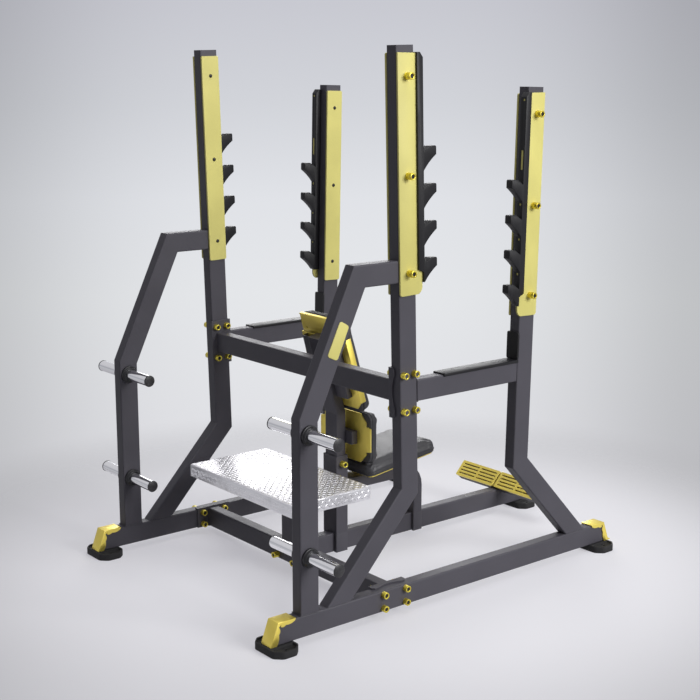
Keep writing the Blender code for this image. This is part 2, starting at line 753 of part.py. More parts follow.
def build_lower_cross_beam():
    """A tube between the base beams, on saddles that hook over them, with the spine's bolts through it."""
    beam_z = BASE_LOW + TUBE_DEEP / 2
    reach = SADDLE_X + SADDLE_SHEET / 2
    frame = Matrix.Translation((0, LOWER_BEAM_Y, beam_z)) @ FACING
    path = [(-reach, 0), (reach, 0)]
    beam = tube_shell("lower_cross_beam", path, frame, TUBE_WIDE, TUBE_DEEP)
    for side in SIDES.values():
        outline = saddle_outline(side, LOWER_SADDLE_LONG, SADDLE_X, HALF_IN + SADDLE_GRIP)
        saddle = prism(outline, BASE_LOW, BASE_TOP + GAP + SADDLE_SHEET)
        holder = place(saddle, "saddle_tool", Matrix.Translation((0, LOWER_BEAM_Y, 0)), CUTTERS)
        low, high = span(side, HALF_IN - GAP, HALF_IN + TUBE_WIDE)
        cut_holder(holder, block((low, -LOWER_SADDLE_LONG, 0), (high, LOWER_SADDLE_LONG, BASE_TOP + GAP)),
                   Matrix.Translation((0, LOWER_BEAM_Y, 0)))
        attach(beam, holder)
    hollow(beam, path, frame, TUBE_WIDE, TUBE_DEEP, (True, True))
    for across in (-1, 1):
        for up in (-1, 1):
            centre = (across * FLANGE_BOLTS[0] / 2, LOWER_BEAM_Y - TUBE_WIDE / 2,
                      beam_z + up * FLANGE_BOLTS[1] / 2)
            join(beam, rod(BUSHING_RADIUS, -BUSHING_SINK, BUSHING_LONG, BUSHING_SIDES),
                 Matrix.Translation(centre) @ Matrix.Rotation(pi / 2, 4, "X"))


# ---- hook units ------------------------------------------------------------------------------------------

def hook_edge(inset):
    """The hooked edge of a liner (inset 0), or of the plate in it, downwards: distance out, height."""
    face = LINER_FACE - inset
    points = [(face - PLATE_CHAMFER * 0.75 + inset * 0.5, -inset), (face, -PLATE_CHAMFER - inset * 0.5)]
    for index in range(HOOKS):
        tip = -HOOK_FIRST - index * HOOK_PITCH
        rear_tip = HOOK_REACH - HOOK_FLAT + inset * 0.3
        points += arc((face, tip - HOOK_VALLEY - inset), (rear_tip, tip - inset), -SADDLE_SAG, 4)
        points.append((HOOK_REACH - inset, tip - inset))
        points.append((HOOK_REACH - inset, tip - HOOK_NOSE + inset * 0.4))
        points += arc((HOOK_REACH - inset, tip - HOOK_NOSE + inset * 0.4), (face, tip - HOOK_DEEP + inset),
                      SADDLE_SAG, 4)[1:]
    return points


def plate_outline(grow=0.0):
    """The hook plate: as deep as the column, with the hooks' cores along one edge and a tapered foot."""
    edge = hook_edge(LINER_WALL - grow)
    last = edge[-1]
    back = -TUBE_DEEP - grow
    return [(back, grow), *edge, (last[0], last[1] - 0.012), (0.004 + grow, -PLATE_LONG - grow),
            (back, -PLATE_LONG - grow)]


def liner_outline():
    """The liner outside: from the column's face to the hooked edge."""
    edge = hook_edge(0.0)
    return [(GAP, 0.0), *edge, (GAP, edge[-1][1])]


def build_hook_units():
    plate_low, plate_high = HALF_OUT + GAP, HALF_OUT + GAP + PLATE_SHEET
    plate_middle = (plate_low + plate_high) / 2
    backing_low, backing_high = HALF_IN - GAP - PLATE_SHEET, HALF_IN - GAP
    for upright in UPRIGHTS:
        top = upright.frame @ Matrix.Translation((0, 0, upright.plate_top())) @ ALONG
        for word, side in SIDES.items():
            tail = f"_{upright.word}_{word}"
            low, high = upright.x_range(side, plate_low, plate_high)
            plate = keep(prism(plate_outline(), low, high), "hook_plate" + tail, "yellow", top)
            low, high = upright.x_range(side, backing_low, backing_high)
            strip = rounded(box_outline(-TUBE_DEEP, -PLATE_LONG, 0, 0), 0.006, 2)
            keep(prism(strip, low, high), "backing_plate" + tail, "yellow", top)
            build_liner(upright, side, "hook_liner" + tail, top, plate_middle)
            for drop in PLATE_BOLTS:
                add_plate_bushing(plate, upright, side, drop, plate_high)


def add_plate_bushing(plate, upright, side, drop, plate_face):
    """A bushing with a countersunk socket, standing on the hook plate's outer face."""
    sign = side * upright.facing
    centre = (sign * plate_face, -TUBE_DEEP / 2, upright.plate_top() - drop)
    frame = upright.frame @ Matrix.Translation(centre) @ Matrix.Rotation(sign * pi / 2, 4, "Y")
    shape = rod(BUSHING_RADIUS, -BUSHING_SINK, BUSHING_LONG, BUSHING_SIDES)
    top_face = max(shape.faces, key=lambda face: face.calc_center_median().z)
    bmesh.ops.inset_region(shape, faces=[top_face], thickness=BUSHING_RADIUS * 0.4)
    bmesh.ops.translate(shape, verts=top_face.verts, vec=(0, 0, -0.004))
    join(plate, shape, frame)


def build_liner(upright, side, name, top, plate_middle):
    """A liner: the hooked outline, with the plate's edge sunk in it and windows in the hooked face."""
    half = LINER_WIDE / 2
    centre = plate_middle - 0.0023
    low, high = upright.x_range(side, centre - half, centre + half)
    liner = keep(prism(liner_outline(), low, high), name, "liner", top)
    half_slot = PLATE_SHEET / 2 + GAP
    low, high = upright.x_range(side, plate_middle - half_slot, plate_middle + half_slot)
    core = plate_outline(GAP)
    carve(liner, prism(core, low, high), top)
    middle = (low + high) / 2
    openings = [(SLOT_TOP, SLOT_LONG, SLOT_WIDE)]
    for index in range(HOOKS - 1):
        start = HOOK_FIRST + index * HOOK_PITCH + WINDOW_DROP
        openings.append((start, WINDOW_LONG, WINDOW_WIDE))
    for drop, length, width in openings:
        box = box_outline(PLATE_REACH - GAP * 0.5, -drop - length, LINER_FACE + CUTTER_OVER, -drop)
        carve(liner, prism(box, middle - width / 2, middle + width / 2), top)


# ---- limiters --------------------------------------------------------------------------------------------

def build_limiters():
    """Wear strips capped over the side beams, and bumpers on the front columns above them."""
    top = SIDE_BEAM_TOP + GAP
    outer = TUBE_WIDE / 2 + GAP + STRIP_SHEET
    strip_top = top + STRIP_SHEET
    front = FRONT.face_at(strip_top, GAP)
    for word, side in SIDES.items():
        frame = Matrix.Translation((side * TUBE_X, 0, 0))
        strip = keep(block((-outer, STRIP_REAR, SIDE_BEAM_TOP - STRIP_FLANGE), (outer, front, strip_top)),
                     "limiter_strip_" + word, "liner", frame)
        inside = TUBE_WIDE / 2 + GAP
        carve(strip, block((-inside, STRIP_REAR - CUTTER_OVER, SIDE_BEAM_TOP - STRIP_FLANGE - CUTTER_OVER),
                           (inside, front + CUTTER_OVER, top)), frame)
        low = strip_top + GAP
        middle = low / cos(FRONT.lean) + BUMPER_TALL / 2
        centre = FRONT.frame @ Matrix.Translation((-side * TUBE_X, GAP, middle))
        half = BUMPER_WIDE / 2
        outline = rounded(box_outline(-half, -BUMPER_TALL / 2, half, BUMPER_TALL / 2), 0.008, 3)
        keep(prism(outline, -BUMPER_SHEET, 0), "limiter_bumper_" + word, "liner", centre @ FACING)


# ---- platform --------------------------------------------------------------------------------------------

def build_platform():
    """A bent checker-plate tray on one leg, which stands on the lower cross beam."""
    half = DECK_WIDE / 2
    low = DECK_TOP - DECK_SKIRT
    deck = keep(block((-half, DECK_REAR, low), (half, DECK_FRONT, DECK_TOP)), "platform_deck", "deck")
    carve(deck, block((-half + DECK_SHEET, DECK_REAR + DECK_SHEET, low - CUTTER_OVER),
                      (half - DECK_SHEET, DECK_FRONT - DECK_SHEET, DECK_TOP - DECK_SHEET)))
    leg_top = DECK_TOP - DECK_SHEET - GAP
    path = [(0, BASE_TOP + GAP), (0, leg_top - BRACKET_SHEET / 2)]
    leg = tube("platform_leg", path, Matrix.Translation((0, LOWER_BEAM_Y, 0)) @ FACING, TUBE_WIDE,
               PLATFORM_LEG_WIDE, (True, True))
    reach = DECK_BRACKET / 2
    middle = (DECK_REAR + DECK_FRONT) / 2
    join(leg, block((-reach, middle - reach / 2, leg_top - BRACKET_SHEET),
                    (reach, LOWER_BEAM_Y + TUBE_WIDE / 2 + 0.02, leg_top)))


# ---- spine, post, seat -----------------------------------------------------------------------------------

def build_spine():
    """The middle beam, with a bolting flange at its rear end."""
    rear = LOWER_BEAM_Y + TUBE_WIDE / 2 + GAP
    path = [(rear + FLANGE_SHEET / 2, BASE_LOW + TUBE_DEEP / 2), (SPINE_FRONT, BASE_LOW + TUBE_DEEP / 2)]
    spine = tube_shell("spine", path, ALONG, TUBE_WIDE, TUBE_DEEP)
    half = FLANGE_WIDE / 2
    outline = rounded(box_outline(-half, BASE_LOW, half, BASE_TOP), 0.012, 3)
    join(spine, prism(outline, -rear - FLANGE_SHEET, -rear), FACING)
    hollow(spine, path, ALONG, TUBE_WIDE, TUBE_DEEP, (True, False))


def post_bend():
    """Height of the post's bend, so that its reclined run lies against the back plate."""
    front_y, front_z = BACK_FRONT_LOW
    behind = BACK_THICK + BACK_SHEET + 2 * GAP + POST_DEEP / 2
    return front_z - (behind + (POST_Y - front_y) * cos(BACK_RECLINE)) / sin(BACK_RECLINE)


def build_post_and_socket():
    """The back post stands in a bolted socket; above the bend it leans back with the back pad."""
    inner_wide, inner_deep = POST_WIDE + 2 * SOCKET_FIT, POST_DEEP + 2 * SOCKET_FIT
    outer_wide, outer_deep = inner_wide + 2 * SOCKET_WALL, inner_deep + 2 * SOCKET_WALL
    low = BASE_TOP + GAP
    body = block((-outer_wide / 2, -outer_deep / 2, low), (outer_wide / 2, outer_deep / 2, SOCKET_TOP))
    socket = keep(body, "post_socket", "frame", Matrix.Translation((0, POST_Y, 0)))
    carve(socket, block((-inner_wide / 2, -inner_deep / 2, low + SOCKET_WALL),
                        (inner_wide / 2, inner_deep / 2, SOCKET_TOP + CUTTER_OVER)),
          Matrix.Translation((0, POST_Y, 0)))
    join(socket, rod(BUSHING_RADIUS, -BUSHING_SINK, BUSHING_LONG, BUSHING_SIDES),
         Matrix.Translation((outer_wide / 2, POST_Y, SOCKET_BOLT_Z)) @ Matrix.Rotation(pi / 2, 4, "Y"))
    bend = post_bend()
    rise = POST_TOP - bend
    path = [(POST_Y, low + SOCKET_WALL + GAP), (POST_Y, bend),
            (POST_Y - rise * tan(BACK_RECLINE), POST_TOP)]
    post = tube("back_post", path, ALONG, POST_WIDE, POST_DEEP, (True, False))
    half = LUMBAR_BLOCK_WIDE / 2
    join(post, block((-half, POST_Y + POST_DEEP / 2 - BUSHING_SINK, LUMBAR_BLOCK[0]),
                     (half, LUMBAR_PLATE_Y - GAP, LUMBAR_BLOCK[1])))


def seat_frame_path():
    socket_front = POST_Y + POST_DEEP / 2 + SOCKET_FIT + SOCKET_WALL
    return [(socket_front + GAP, SEAT_TUBE_Z), (SEAT_LEG_Y, SEAT_TUBE_Z), (SEAT_LEG_Y, BASE_TOP + GAP)]


def build_seat_frame():
    """A gooseneck: out of the socket, round a bend, and down onto the spine."""
    path = curved(seat_frame_path(), SEAT_BEND_RADIUS)
    tube("seat_frame", path, ALONG, POST_WIDE, POST_DEEP, (True, True))


def seat_matrix():
    """The seat pad's own frame: y along the tilted pad from its lower rear edge, z square to it."""
    return Matrix.Translation((0, *SEAT_REAR)) @ Matrix.Rotation(SEAT_TILT, 4, "X")


def build_seat_plate():
    """A sheet under the pad, with a web that stands on the seat frame."""
    frame = seat_matrix()
    half = SEAT_PLATE_WIDE / 2
    inset = (SEAT_LONG - SEAT_PLATE_LONG) / 2
    outline = rounded(box_outline(-half, inset, half, SEAT_LONG - inset), 0.020, 3)
    plate = keep(prism(outline, -GAP - SEAT_PLATE_SHEET, -GAP), "seat_plate", "yellow", frame)
    floor = SEAT_TUBE_Z + POST_DEEP / 2 + GAP
    rear_y, rear_z = SEAT_REAR
    start, end = rear_y + inset + 0.045, SEAT_LEG_Y - SEAT_BEND_RADIUS
    sheet = SEAT_PLATE_SHEET * 0.7

    def underside(y):
        return rear_z + (y - rear_y) * tan(SEAT_TILT) - sheet

    web = [(start, floor), (end, floor), (end, underside(end)), (start, underside(start))]
    join(plate, prism(web, -POST_WIDE / 2 + 0.004, POST_WIDE / 2 - 0.004), ALONG)


# ---- upholstery ------------------------------------------------------------------------------------------

def cushion(name, outline_half, length, thick, crown, frame, tuck=0.006):
    """A pad: a grid of rings over a rounded outline, crowned on top and drawn in along its sides.

    outline_half(t) gives the half width at a share t of the length.
    """
    rings = (
        (1.00, 0.0, tuck),
        (0.80, 0.0, 0.0),
        (0.80, thick * 0.55, -0.001),
        (0.92, thick * 0.86, 0.005),
        (1.00, thick, 0.020),
    )
    shape = bmesh.new()
    border = pad_border(outline_half, length)
    loops = []
    for _, height, inset in rings:
        loop = []
        for x, y in border:
            scale_x = 1 - inset / outline_half(0.5)
            scale_y = 1 - 2 * inset / length
            lift = crown if inset > 0.019 else 0
            loop.append(shape.verts.new((x * scale_x, (y - length / 2) * scale_y + length / 2,
                                         height + lift * 0.35)))
        loops.append(loop)
    count = len(border)
    for lower, upper in zip(loops, loops[1:]):
        for index in range(count):
            after = (index + 1) % count
            shape.faces.new((lower[index], lower[after], upper[after], upper[index]))
    shape.faces.new(loops[0][::-1])
    inner = [shape.verts.new((x * 0.55, (y - length / 2) * 0.55 + length / 2, thick + crown * 0.85))
             for x, y in border]
    for index in range(count):
        after = (index + 1) % count
        shape.faces.new((loops[-1][index], loops[-1][after], inner[after], inner[index]))
    peak = shape.verts.new((0, length / 2, thick + crown))
    for index in range(count):
        shape.faces.new((inner[index], inner[(index + 1) % count], peak))
    bmesh.ops.recalc_face_normals(shape, faces=shape.faces)
    return keep(shape, name, "vinyl", frame)


def pad_border(outline_half, length):
    """The pad's plan: straight sides that may taper, and round corners."""
    low, high = outline_half(0), outline_half(1)
    corners = [(-low, 0), (low, 0), (high, length), (-high, length)]
    return rounded(corners, PAD_CORNER, 5)


def build_pads():
    """The three pads; each is set on its plate."""
    cushion("seat_pad", lambda t: SEAT_WIDE / 2, SEAT_LONG, SEAT_THICK * 0.86, SEAT_THICK * 0.14,
            seat_matrix())
    lumbar_face = LUMBAR_PLATE_Y + LUMBAR_SHEET + GAP
    lumbar = Matrix.Translation((0, lumbar_face, LUMBAR_CENTRE - LUMBAR_TALL / 2))
    cushion("lumbar_pad", lambda t: LUMBAR_WIDE / 2, LUMBAR_TALL, LUMBAR_THICK * 0.86, LUMBAR_THICK * 0.14,
            lumbar @ UPRIGHT_PAGE)
    cushion("back_pad", lambda t: (BACK_LOW_WIDE + (BACK_TOP_WIDE - BACK_LOW_WIDE) * t) / 2, BACK_LONG,
            BACK_THICK * 0.88, BACK_THICK * 0.12, back_matrix() @ UPRIGHT_PAGE)


UPRIGHT_PAGE = Matrix(((-1, 0, 0, 0), (0, 0, 1, 0), (0, 1, 0, 0), (0, 0, 0, 1)))   # (-x, z), out along +y


def back_matrix():
    """The back pad's own frame: z up along the reclined pad, y square to it, from its rear face."""
    front_y, front_z = BACK_FRONT_LOW
    turn = Matrix.Rotation(BACK_RECLINE, 4, "X")
    return Matrix.Translation((0, front_y, front_z)) @ turn @ Matrix.Translation((0, -BACK_THICK, 0))


def build_lumbar_plate():
    half, corner, tab = LUMBAR_PLATE_WIDE / 2, LUMBAR_PLATE_CORNER, LUMBAR_PLATE_WIDE / 2 + LUMBAR_TAB
    low, high = LUMBAR_PLATE_LOW, LUMBAR_PLATE_TOP
    tab_low, tab_high = LUMBAR_TABS
    right = [(half - corner, low), (half, low + corner), (half, tab_low), (tab, tab_low + 0.006),
             (tab, tab_high - 0.006), (half, tab_high), (half, high - corner), (half - corner, high)]
    outline = right + [(-x, z) for x, z in right[::-1]]
    keep(prism(outline, -LUMBAR_PLATE_Y - LUMBAR_SHEET, -LUMBAR_PLATE_Y), "lumbar_plate", "yellow", FACING)


def build_back_plate():
    """A tapered sheet behind the back pad, with its sides bent back."""
    frame = back_matrix()
    low_half, high_half = BACK_LOW_WIDE / 2 - 0.006, BACK_TOP_WIDE / 2 - 0.004
    rear, face = GAP + BACK_SHEET, GAP
    foot, head = BACK_PLATE_FOOT, BACK_PLATE_LONG
    outline = [(-low_half, foot), (low_half, foot), (high_half, head), (-high_half, head)]
    plate = keep(prism(outline, face, rear + BACK_FLANGE), "back_plate", "yellow", frame @ FACING)
    sheet = BACK_SHEET
    over = head + CUTTER_OVER
    hollow = [(-low_half + sheet, -CUTTER_OVER), (low_half - sheet, -CUTTER_OVER),
              (high_half - sheet, over), (-high_half + sheet, over)]
    carve(plate, prism(hollow, rear, rear + BACK_FLANGE + CUTTER_OVER), frame @ FACING)


def build_back_guard():
    """A sheet behind the top of the back pad, with its top edge bent forward over the pad's edge."""
    frame = back_matrix()
    half = BACK_TOP_WIDE / 2
    top = BACK_LONG + 0.004
    low = top - GUARD_TALL
    low = max(low, BACK_PLATE_LONG + GAP)
    rear = GAP + BACK_SHEET
    outline = [(-half + GUARD_CORNER, low), (half - GUARD_CORNER, low), (half, low + GUARD_CORNER),
               (half, top), (-half, top), (-half, low + GUARD_CORNER)]
    guard = keep(prism(outline, GAP, rear), "back_guard", "yellow", frame @ FACING)
    join(guard, block((-half, -rear, top), (half, GUARD_LIP, top + BACK_SHEET)), frame)
    join(guard, block((-half, -rear, top - 0.001), (half, -GAP, top + 0.001)), frame)


# ---- foot rest -------------------------------------------------------------------------------------------

def rest_matrix():
    """The foot rest's own frame: y up the tilted face from its lower edge, z out of the face."""
    return Matrix.Translation((0, *REST_LOW)) @ Matrix.Rotation(REST_TILT, 4, "X")


def build_foot_rest():
    frame = rest_matrix()
    under = -TREAD_SHEET - GAP
    half = REST_WIDE / 2
    near, far = REST_BAR_INSET, REST_DEEP - REST_BAR_INSET
    bar = keep(block((-half, near, under - REST_BAR_THICK), (half, far, under)), "footrest_bar", "frame",
               frame)
    wall = TUBE_WALL
    carve(bar, block((-half - CUTTER_OVER, near + wall, under - REST_BAR_THICK + wall),
                     (half + CUTTER_OVER, far - wall, under - wall)), frame)
    cope = TUBE_WIDE / 2 + GAP
    carve(bar, block((-cope, 0, 0), (cope, SPINE_FRONT, BASE_TOP + GAP)))
    stem_rear, stem_front = REST_LOW[0] + 0.016, REST_LOW[0] + 0.086
    stem_top = REST_LOW[1] - 0.004
    join(bar, block((-TUBE_WIDE / 2 + 0.003, stem_rear, BASE_TOP + GAP),
                    (TUBE_WIDE / 2 - 0.003, stem_front, stem_top)))
    build_treads(frame, half)


def build_treads(frame, half):
    """Two slotted treads with a split between them."""
    width = half - TREAD_SPLIT / 2
    slot_wide = (width - 2 * SLOT_MARGIN - (SLOT_COLUMNS - 1) * SLOT_LAND) / SLOT_COLUMNS
    pitch = (REST_DEEP - 2 * SLOT_MARGIN - SLOT_HIGH) / (SLOT_ROWS - 1)
    for word, side in SIDES.items():
        low, high = span(side, TREAD_SPLIT / 2, half)
        holes = []
        for row in range(SLOT_ROWS):
            bottom = SLOT_MARGIN + row * pitch
            for column in range(SLOT_COLUMNS):
                left = low + SLOT_MARGIN + column * (slot_wide + SLOT_LAND)
                corners = box_outline(left, bottom, left + slot_wide, bottom + SLOT_HIGH)
                holes.append(rounded(corners, SLOT_HIGH * 0.49, 2))
        outline = rounded(box_outline(low, 0, high, REST_DEEP), 0.004, 2)
        keep(prism(outline, -TREAD_SHEET, 0, holes), "footrest_tread_" + word, "yellow", frame)


build_base_beams()
build_feet()
build_foot_clips()
build_uprights()
build_side_beams()
build_storage_frames()
build_horns()
build_mid_cross_beam()
build_lower_cross_beam()
build_hook_units()
build_limiters()
build_platform()
build_spine()
build_post_and_socket()
build_seat_frame()
build_seat_plate()
build_pads()
build_lumbar_plate()
build_back_plate()
build_back_guard()
build_foot_rest()
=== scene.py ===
"""Dresses the seated press rack: coats, upholstery, fasteners, welds, light, floor and camera."""

from math import cos, pi, radians, sin, tan

import bmesh
import bpy
from mathutils import Matrix, Vector


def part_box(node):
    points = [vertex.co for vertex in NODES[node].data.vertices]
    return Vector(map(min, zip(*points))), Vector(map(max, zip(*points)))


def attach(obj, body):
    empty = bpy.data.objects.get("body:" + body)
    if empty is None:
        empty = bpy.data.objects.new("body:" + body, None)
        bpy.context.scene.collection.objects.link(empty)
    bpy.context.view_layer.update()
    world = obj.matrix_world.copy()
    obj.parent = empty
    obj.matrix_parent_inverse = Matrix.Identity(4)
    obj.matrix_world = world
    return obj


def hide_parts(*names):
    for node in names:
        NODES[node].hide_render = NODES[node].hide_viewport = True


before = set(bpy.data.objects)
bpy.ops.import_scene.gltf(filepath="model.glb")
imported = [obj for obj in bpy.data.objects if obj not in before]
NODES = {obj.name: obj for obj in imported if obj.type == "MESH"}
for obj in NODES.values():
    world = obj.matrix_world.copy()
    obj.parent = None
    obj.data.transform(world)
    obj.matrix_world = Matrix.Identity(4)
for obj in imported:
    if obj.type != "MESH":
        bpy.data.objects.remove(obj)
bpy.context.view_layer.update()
SIDES = {"right": 1, "left": -1}
WALL_SIDES = (-1, 1)
FOUR = [(across, up) for across in WALL_SIDES for up in WALL_SIDES]


# ---- coats and other finishes ----

class Wire:
    """A socket that takes part in sums: an expression on wires adds its nodes to the finish."""

    def __init__(self, finish, socket):
        self.finish = finish
        self.socket = socket

    def sum(self, operation, *values):
        return self.finish.node("Math", {"operation": operation}, dict(enumerate(values)))

    def __add__(self, other):
        return self.sum("ADD", self, other)

    def __radd__(self, other):
        return self.sum("ADD", other, self)

    def __rsub__(self, other):
        return self.sum("SUBTRACT", other, self)

    def __mul__(self, other):
        return self.sum("MULTIPLY", self, other)

    def __rmul__(self, other):
        return self.sum("MULTIPLY", other, self)

    def step(self, low, high):
        """0 below low, 1 above high, and smooth between."""
        return self.finish.node("MapRange", {"interpolation_type": "SMOOTHSTEP"},
                                {"Value": self, "From Min": low, "From Max": high})


class Finish:
    """A surface finish: a Principled shader and the pattern that feeds it."""

    def __init__(self, name, colour, roughness, metallic=0.0):
        self.material = bpy.data.materials.new(name)
        self.material.use_nodes = True
        self.material.diffuse_color = (*colour, 1)
        self.tree = self.material.node_tree
        self.shader = self.tree.nodes["Principled BSDF"]
        self.set(Roughness=roughness, Metallic=metallic)
        self.base((*colour, 1))
        self.place = self.node("TexCoord", output="Object")

    def node(self, kind, settings=None, sockets=None, output=0):
        """Any other node: its settings first, then what its sockets hold."""
        node = self.tree.nodes.new("ShaderNode" + kind)
        for key, value in (settings or {}).items():
            if key == "stops":
                self.set_stops(node.color_ramp, value)
            else:
                setattr(node, key, value)
        for key, value in (sockets or {}).items():
            self.feed(node, key, value)
        return Wire(self, node.outputs[output])

    def feed(self, node, key, value):
        socket = node.inputs[key]
        if isinstance(value, Wire):
            self.tree.links.new(value.socket, socket)
        else:
            socket.default_value = value

    def set_stops(self, ramp, stops):
        while len(ramp.elements) < len(stops):
            ramp.elements.new(0.5)
        for element, (position, colour) in zip(ramp.elements, stops):
            element.position = position
            element.color = colour

    def set(self, **values):
        for key, value in values.items():
            self.feed(self.shader, key, value)

    def base(self, colour):
        self.set(**{"Base Color": colour})

    def noise(self, scale, detail=2.0, vector=None):
        sockets = {"Vector": vector or self.place, "Scale": scale, "Detail": detail}
        return self.node("TexNoise", sockets=sockets)

    def mix(self, share, first, second):
        """A colour between two colours or colour wires."""
        first, second = ((*c, 1) if isinstance(c, tuple) and len(c) == 3 else c for c in (first, second))
        return self.node("Mix", {"data_type": "RGBA"}, {0: share, 6: first, 7: second}, output=2)

    def stretch(self, x, y, z):
        """Object coordinates with each axis scaled, for grain that runs one way."""
        return self.node("VectorMath", {"operation": "MULTIPLY"}, {0: self.place, 1: (x, y, z)})

    def edges(self, radius, low, high):
        """1 on an edge, 0 on a flat face."""
        soft = self.node("Bevel", {"samples": 4}, {"Radius": radius}, output="Normal")
        plain = self.node("NewGeometry", output="Normal")
        along = self.node("VectorMath", {"operation": "DOT_PRODUCT"}, {0: soft, 1: plain}, output="Value")
        return (1 - along).step(low, high)

    def emboss(self, height, strength, distance, round_edges=0.0):
        """Bump from a height wire, on normals that are rounded over the edges."""
        sockets = {"Height": height, "Strength": strength, "Distance": distance}
        if round_edges:
            sockets["Normal"] = self.node("Bevel", {"samples": 4}, {"Radius": round_edges}, output="Normal")
        self.set(Normal=self.node("Bump", sockets=sockets))


def tinted(colour, factor):
    return tuple(min(1.0, channel * factor) for channel in colour)


def powder_coat(name, colour, roughness, orange_peel, bare):
    """Powder coat: faint clouds, a fine grain, orange peel, and rubbed edges."""
    coat = Finish(name, colour, roughness)
    clouds = coat.noise(5.0, 3.0)
    grain = coat.noise(1400.0, 1.0)
    body = coat.mix(clouds.step(0.3, 0.7), tinted(colour, 0.93), tinted(colour, 1.05))
    body = coat.mix(grain.step(0.45, 0.75) * 0.35, body, tinted(colour, 1.25))
    scuffs = coat.noise(26.0, 4.0)
    rubbed = coat.edges(0.003, 0.02, 0.20) * scuffs.step(0.42, 0.62)
    coat.base(coat.mix(rubbed * 0.75, body, bare))
    coat.set(Roughness=roughness - 0.08 + 0.16 * coat.noise(9.0, 4.0))
    coat.set(**{"Specular IOR Level": 0.3})
    coat.emboss(coat.noise(420.0, 2.0), orange_peel, 0.0006, 0.0016)
    return coat.material


def gilt_coat_painted_light(name, colour, bare):
    """The glossier golden coat of the folded pieces, its colour painted brighter and more saturated than the
    yellow coat to stand in for light on pieces in shade: a metallic flake over slow clouds.
    """
    coat = Finish(name, colour, 0.36, 0.75)
    flake = coat.noise(2200.0, 1.0)
    clouds = coat.noise(7.0, 3.0)
    body = coat.mix(clouds.step(0.3, 0.7), tinted(colour, 0.94), tinted(colour, 1.05))
    body = coat.mix(flake.step(0.5, 0.8) * 0.4, body, tinted(colour, 1.2))
    rubbed = coat.edges(0.0025, 0.02, 0.20) * coat.noise(30.0, 4.0).step(0.40, 0.60)
    coat.base(coat.mix(rubbed * 0.8, body, bare))
    coat.set(Roughness=0.30 + 0.14 * coat.noise(12.0, 4.0))
    coat.emboss(coat.noise(420.0, 2.0), 0.12, 0.0005, 0.0012)
    return coat.material


def moulded_nylon(name, colour, roughness):
    """Wear-resistant plastic: flat grain, sheen, and pale rubs where a bar has slid."""
    nylon = Finish(name, colour, roughness)
    rubs = nylon.noise(40.0, 5.0, nylon.stretch(1.0, 1.0, 0.25)).step(0.56, 0.74)
    nylon.base(nylon.mix(rubs * 0.5, colour, tinted(colour, 2.1)))
    nylon.set(Roughness=roughness + 0.18 * rubs)
    nylon.set(**{"Specular IOR Level": 0.3})
    nylon.emboss(nylon.noise(700.0, 2.0), 0.18, 0.0004, 0.0008)
    return nylon.material


def grained_vinyl(name, colour):
    """Upholstery vinyl: a pebbled grain, soft gloss, and slow changes of tone."""
    vinyl = Finish(name, colour, 0.46)
    pebbles = vinyl.node("TexVoronoi", {"feature": "SMOOTH_F1"},
                         {"Vector": vinyl.place, "Scale": 620.0, "Smoothness": 0.6})
    tone = vinyl.noise(7.0, 3.0)
    body = vinyl.mix(tone.step(0.3, 0.7), tinted(colour, 0.88), tinted(colour, 1.14))
    vinyl.base(vinyl.mix(pebbles * 0.5, tinted(colour, 1.15), body))
    vinyl.set(Roughness=0.38 + 0.16 * vinyl.noise(14.0, 4.0))
    wrinkles = vinyl.noise(34.0, 5.0)
    vinyl.emboss(pebbles * 0.6 + wrinkles * 0.7, 0.30, 0.0012)
    return vinyl.material


def cast_rubber(name, colour):
    rubber = Finish(name, colour, 0.82)
    crumbs = rubber.noise(520.0, 3.0)
    dust = rubber.noise(22.0, 5.0).step(0.48, 0.72)
    body = rubber.mix(crumbs.step(0.35, 0.7), tinted(colour, 0.8), tinted(colour, 1.3))
    rubber.base(rubber.mix(dust * 0.45, body, tinted(colour, 2.2)))
    rubber.set(Roughness=0.74 + 0.16 * crumbs)
    rubber.emboss(crumbs, 0.5, 0.0009, 0.003)
    return rubber.material


def turned_chrome(name):
    """Hard chrome on a turned bar: fine rings round it, and faint handling marks along it."""
    chrome = Finish(name, (0.86, 0.86, 0.88), 0.12, 1.0)
    rings = chrome.noise(60.0, 3.0, chrome.stretch(16.0, 0.6, 0.6))
    marks = chrome.noise(18.0, 5.0, chrome.stretch(0.4, 2.5, 2.5)).step(0.55, 0.75)
    chrome.base(chrome.mix(marks * 0.4, (0.88, 0.88, 0.90), (0.70, 0.70, 0.72)))
    chrome.set(Roughness=0.08 + 0.04 * rings + 0.08 * marks)
    chrome.emboss(rings, 0.015, 0.0003)
    return chrome.material


def rolled_plate(name):
    """Mill-finish checker plate: rolling streaks, dull scuffs, bright rubbed high spots."""
    plate = Finish(name, (0.84, 0.83, 0.86), 0.32, 0.88)
    streaks = plate.noise(30.0, 4.0, plate.stretch(0.5, 9.0, 9.0))
    scuffs = plate.noise(13.0, 6.0).step(0.5, 0.7)
    body = plate.mix(streaks.step(0.3, 0.7), (0.84, 0.83, 0.86), (0.94, 0.93, 0.96))
    worn = plate.edges(0.002, 0.05, 0.3)
    body = plate.mix(worn * 0.6, body, (0.92, 0.92, 0.92))
    plate.base(plate.mix(scuffs * 0.25, body, (0.45, 0.45, 0.46)))
    plate.set(Roughness=0.24 + 0.12 * streaks + 0.10 * scuffs)
    plate.emboss(streaks, 0.12, 0.0004, 0.001)
    return plate.material


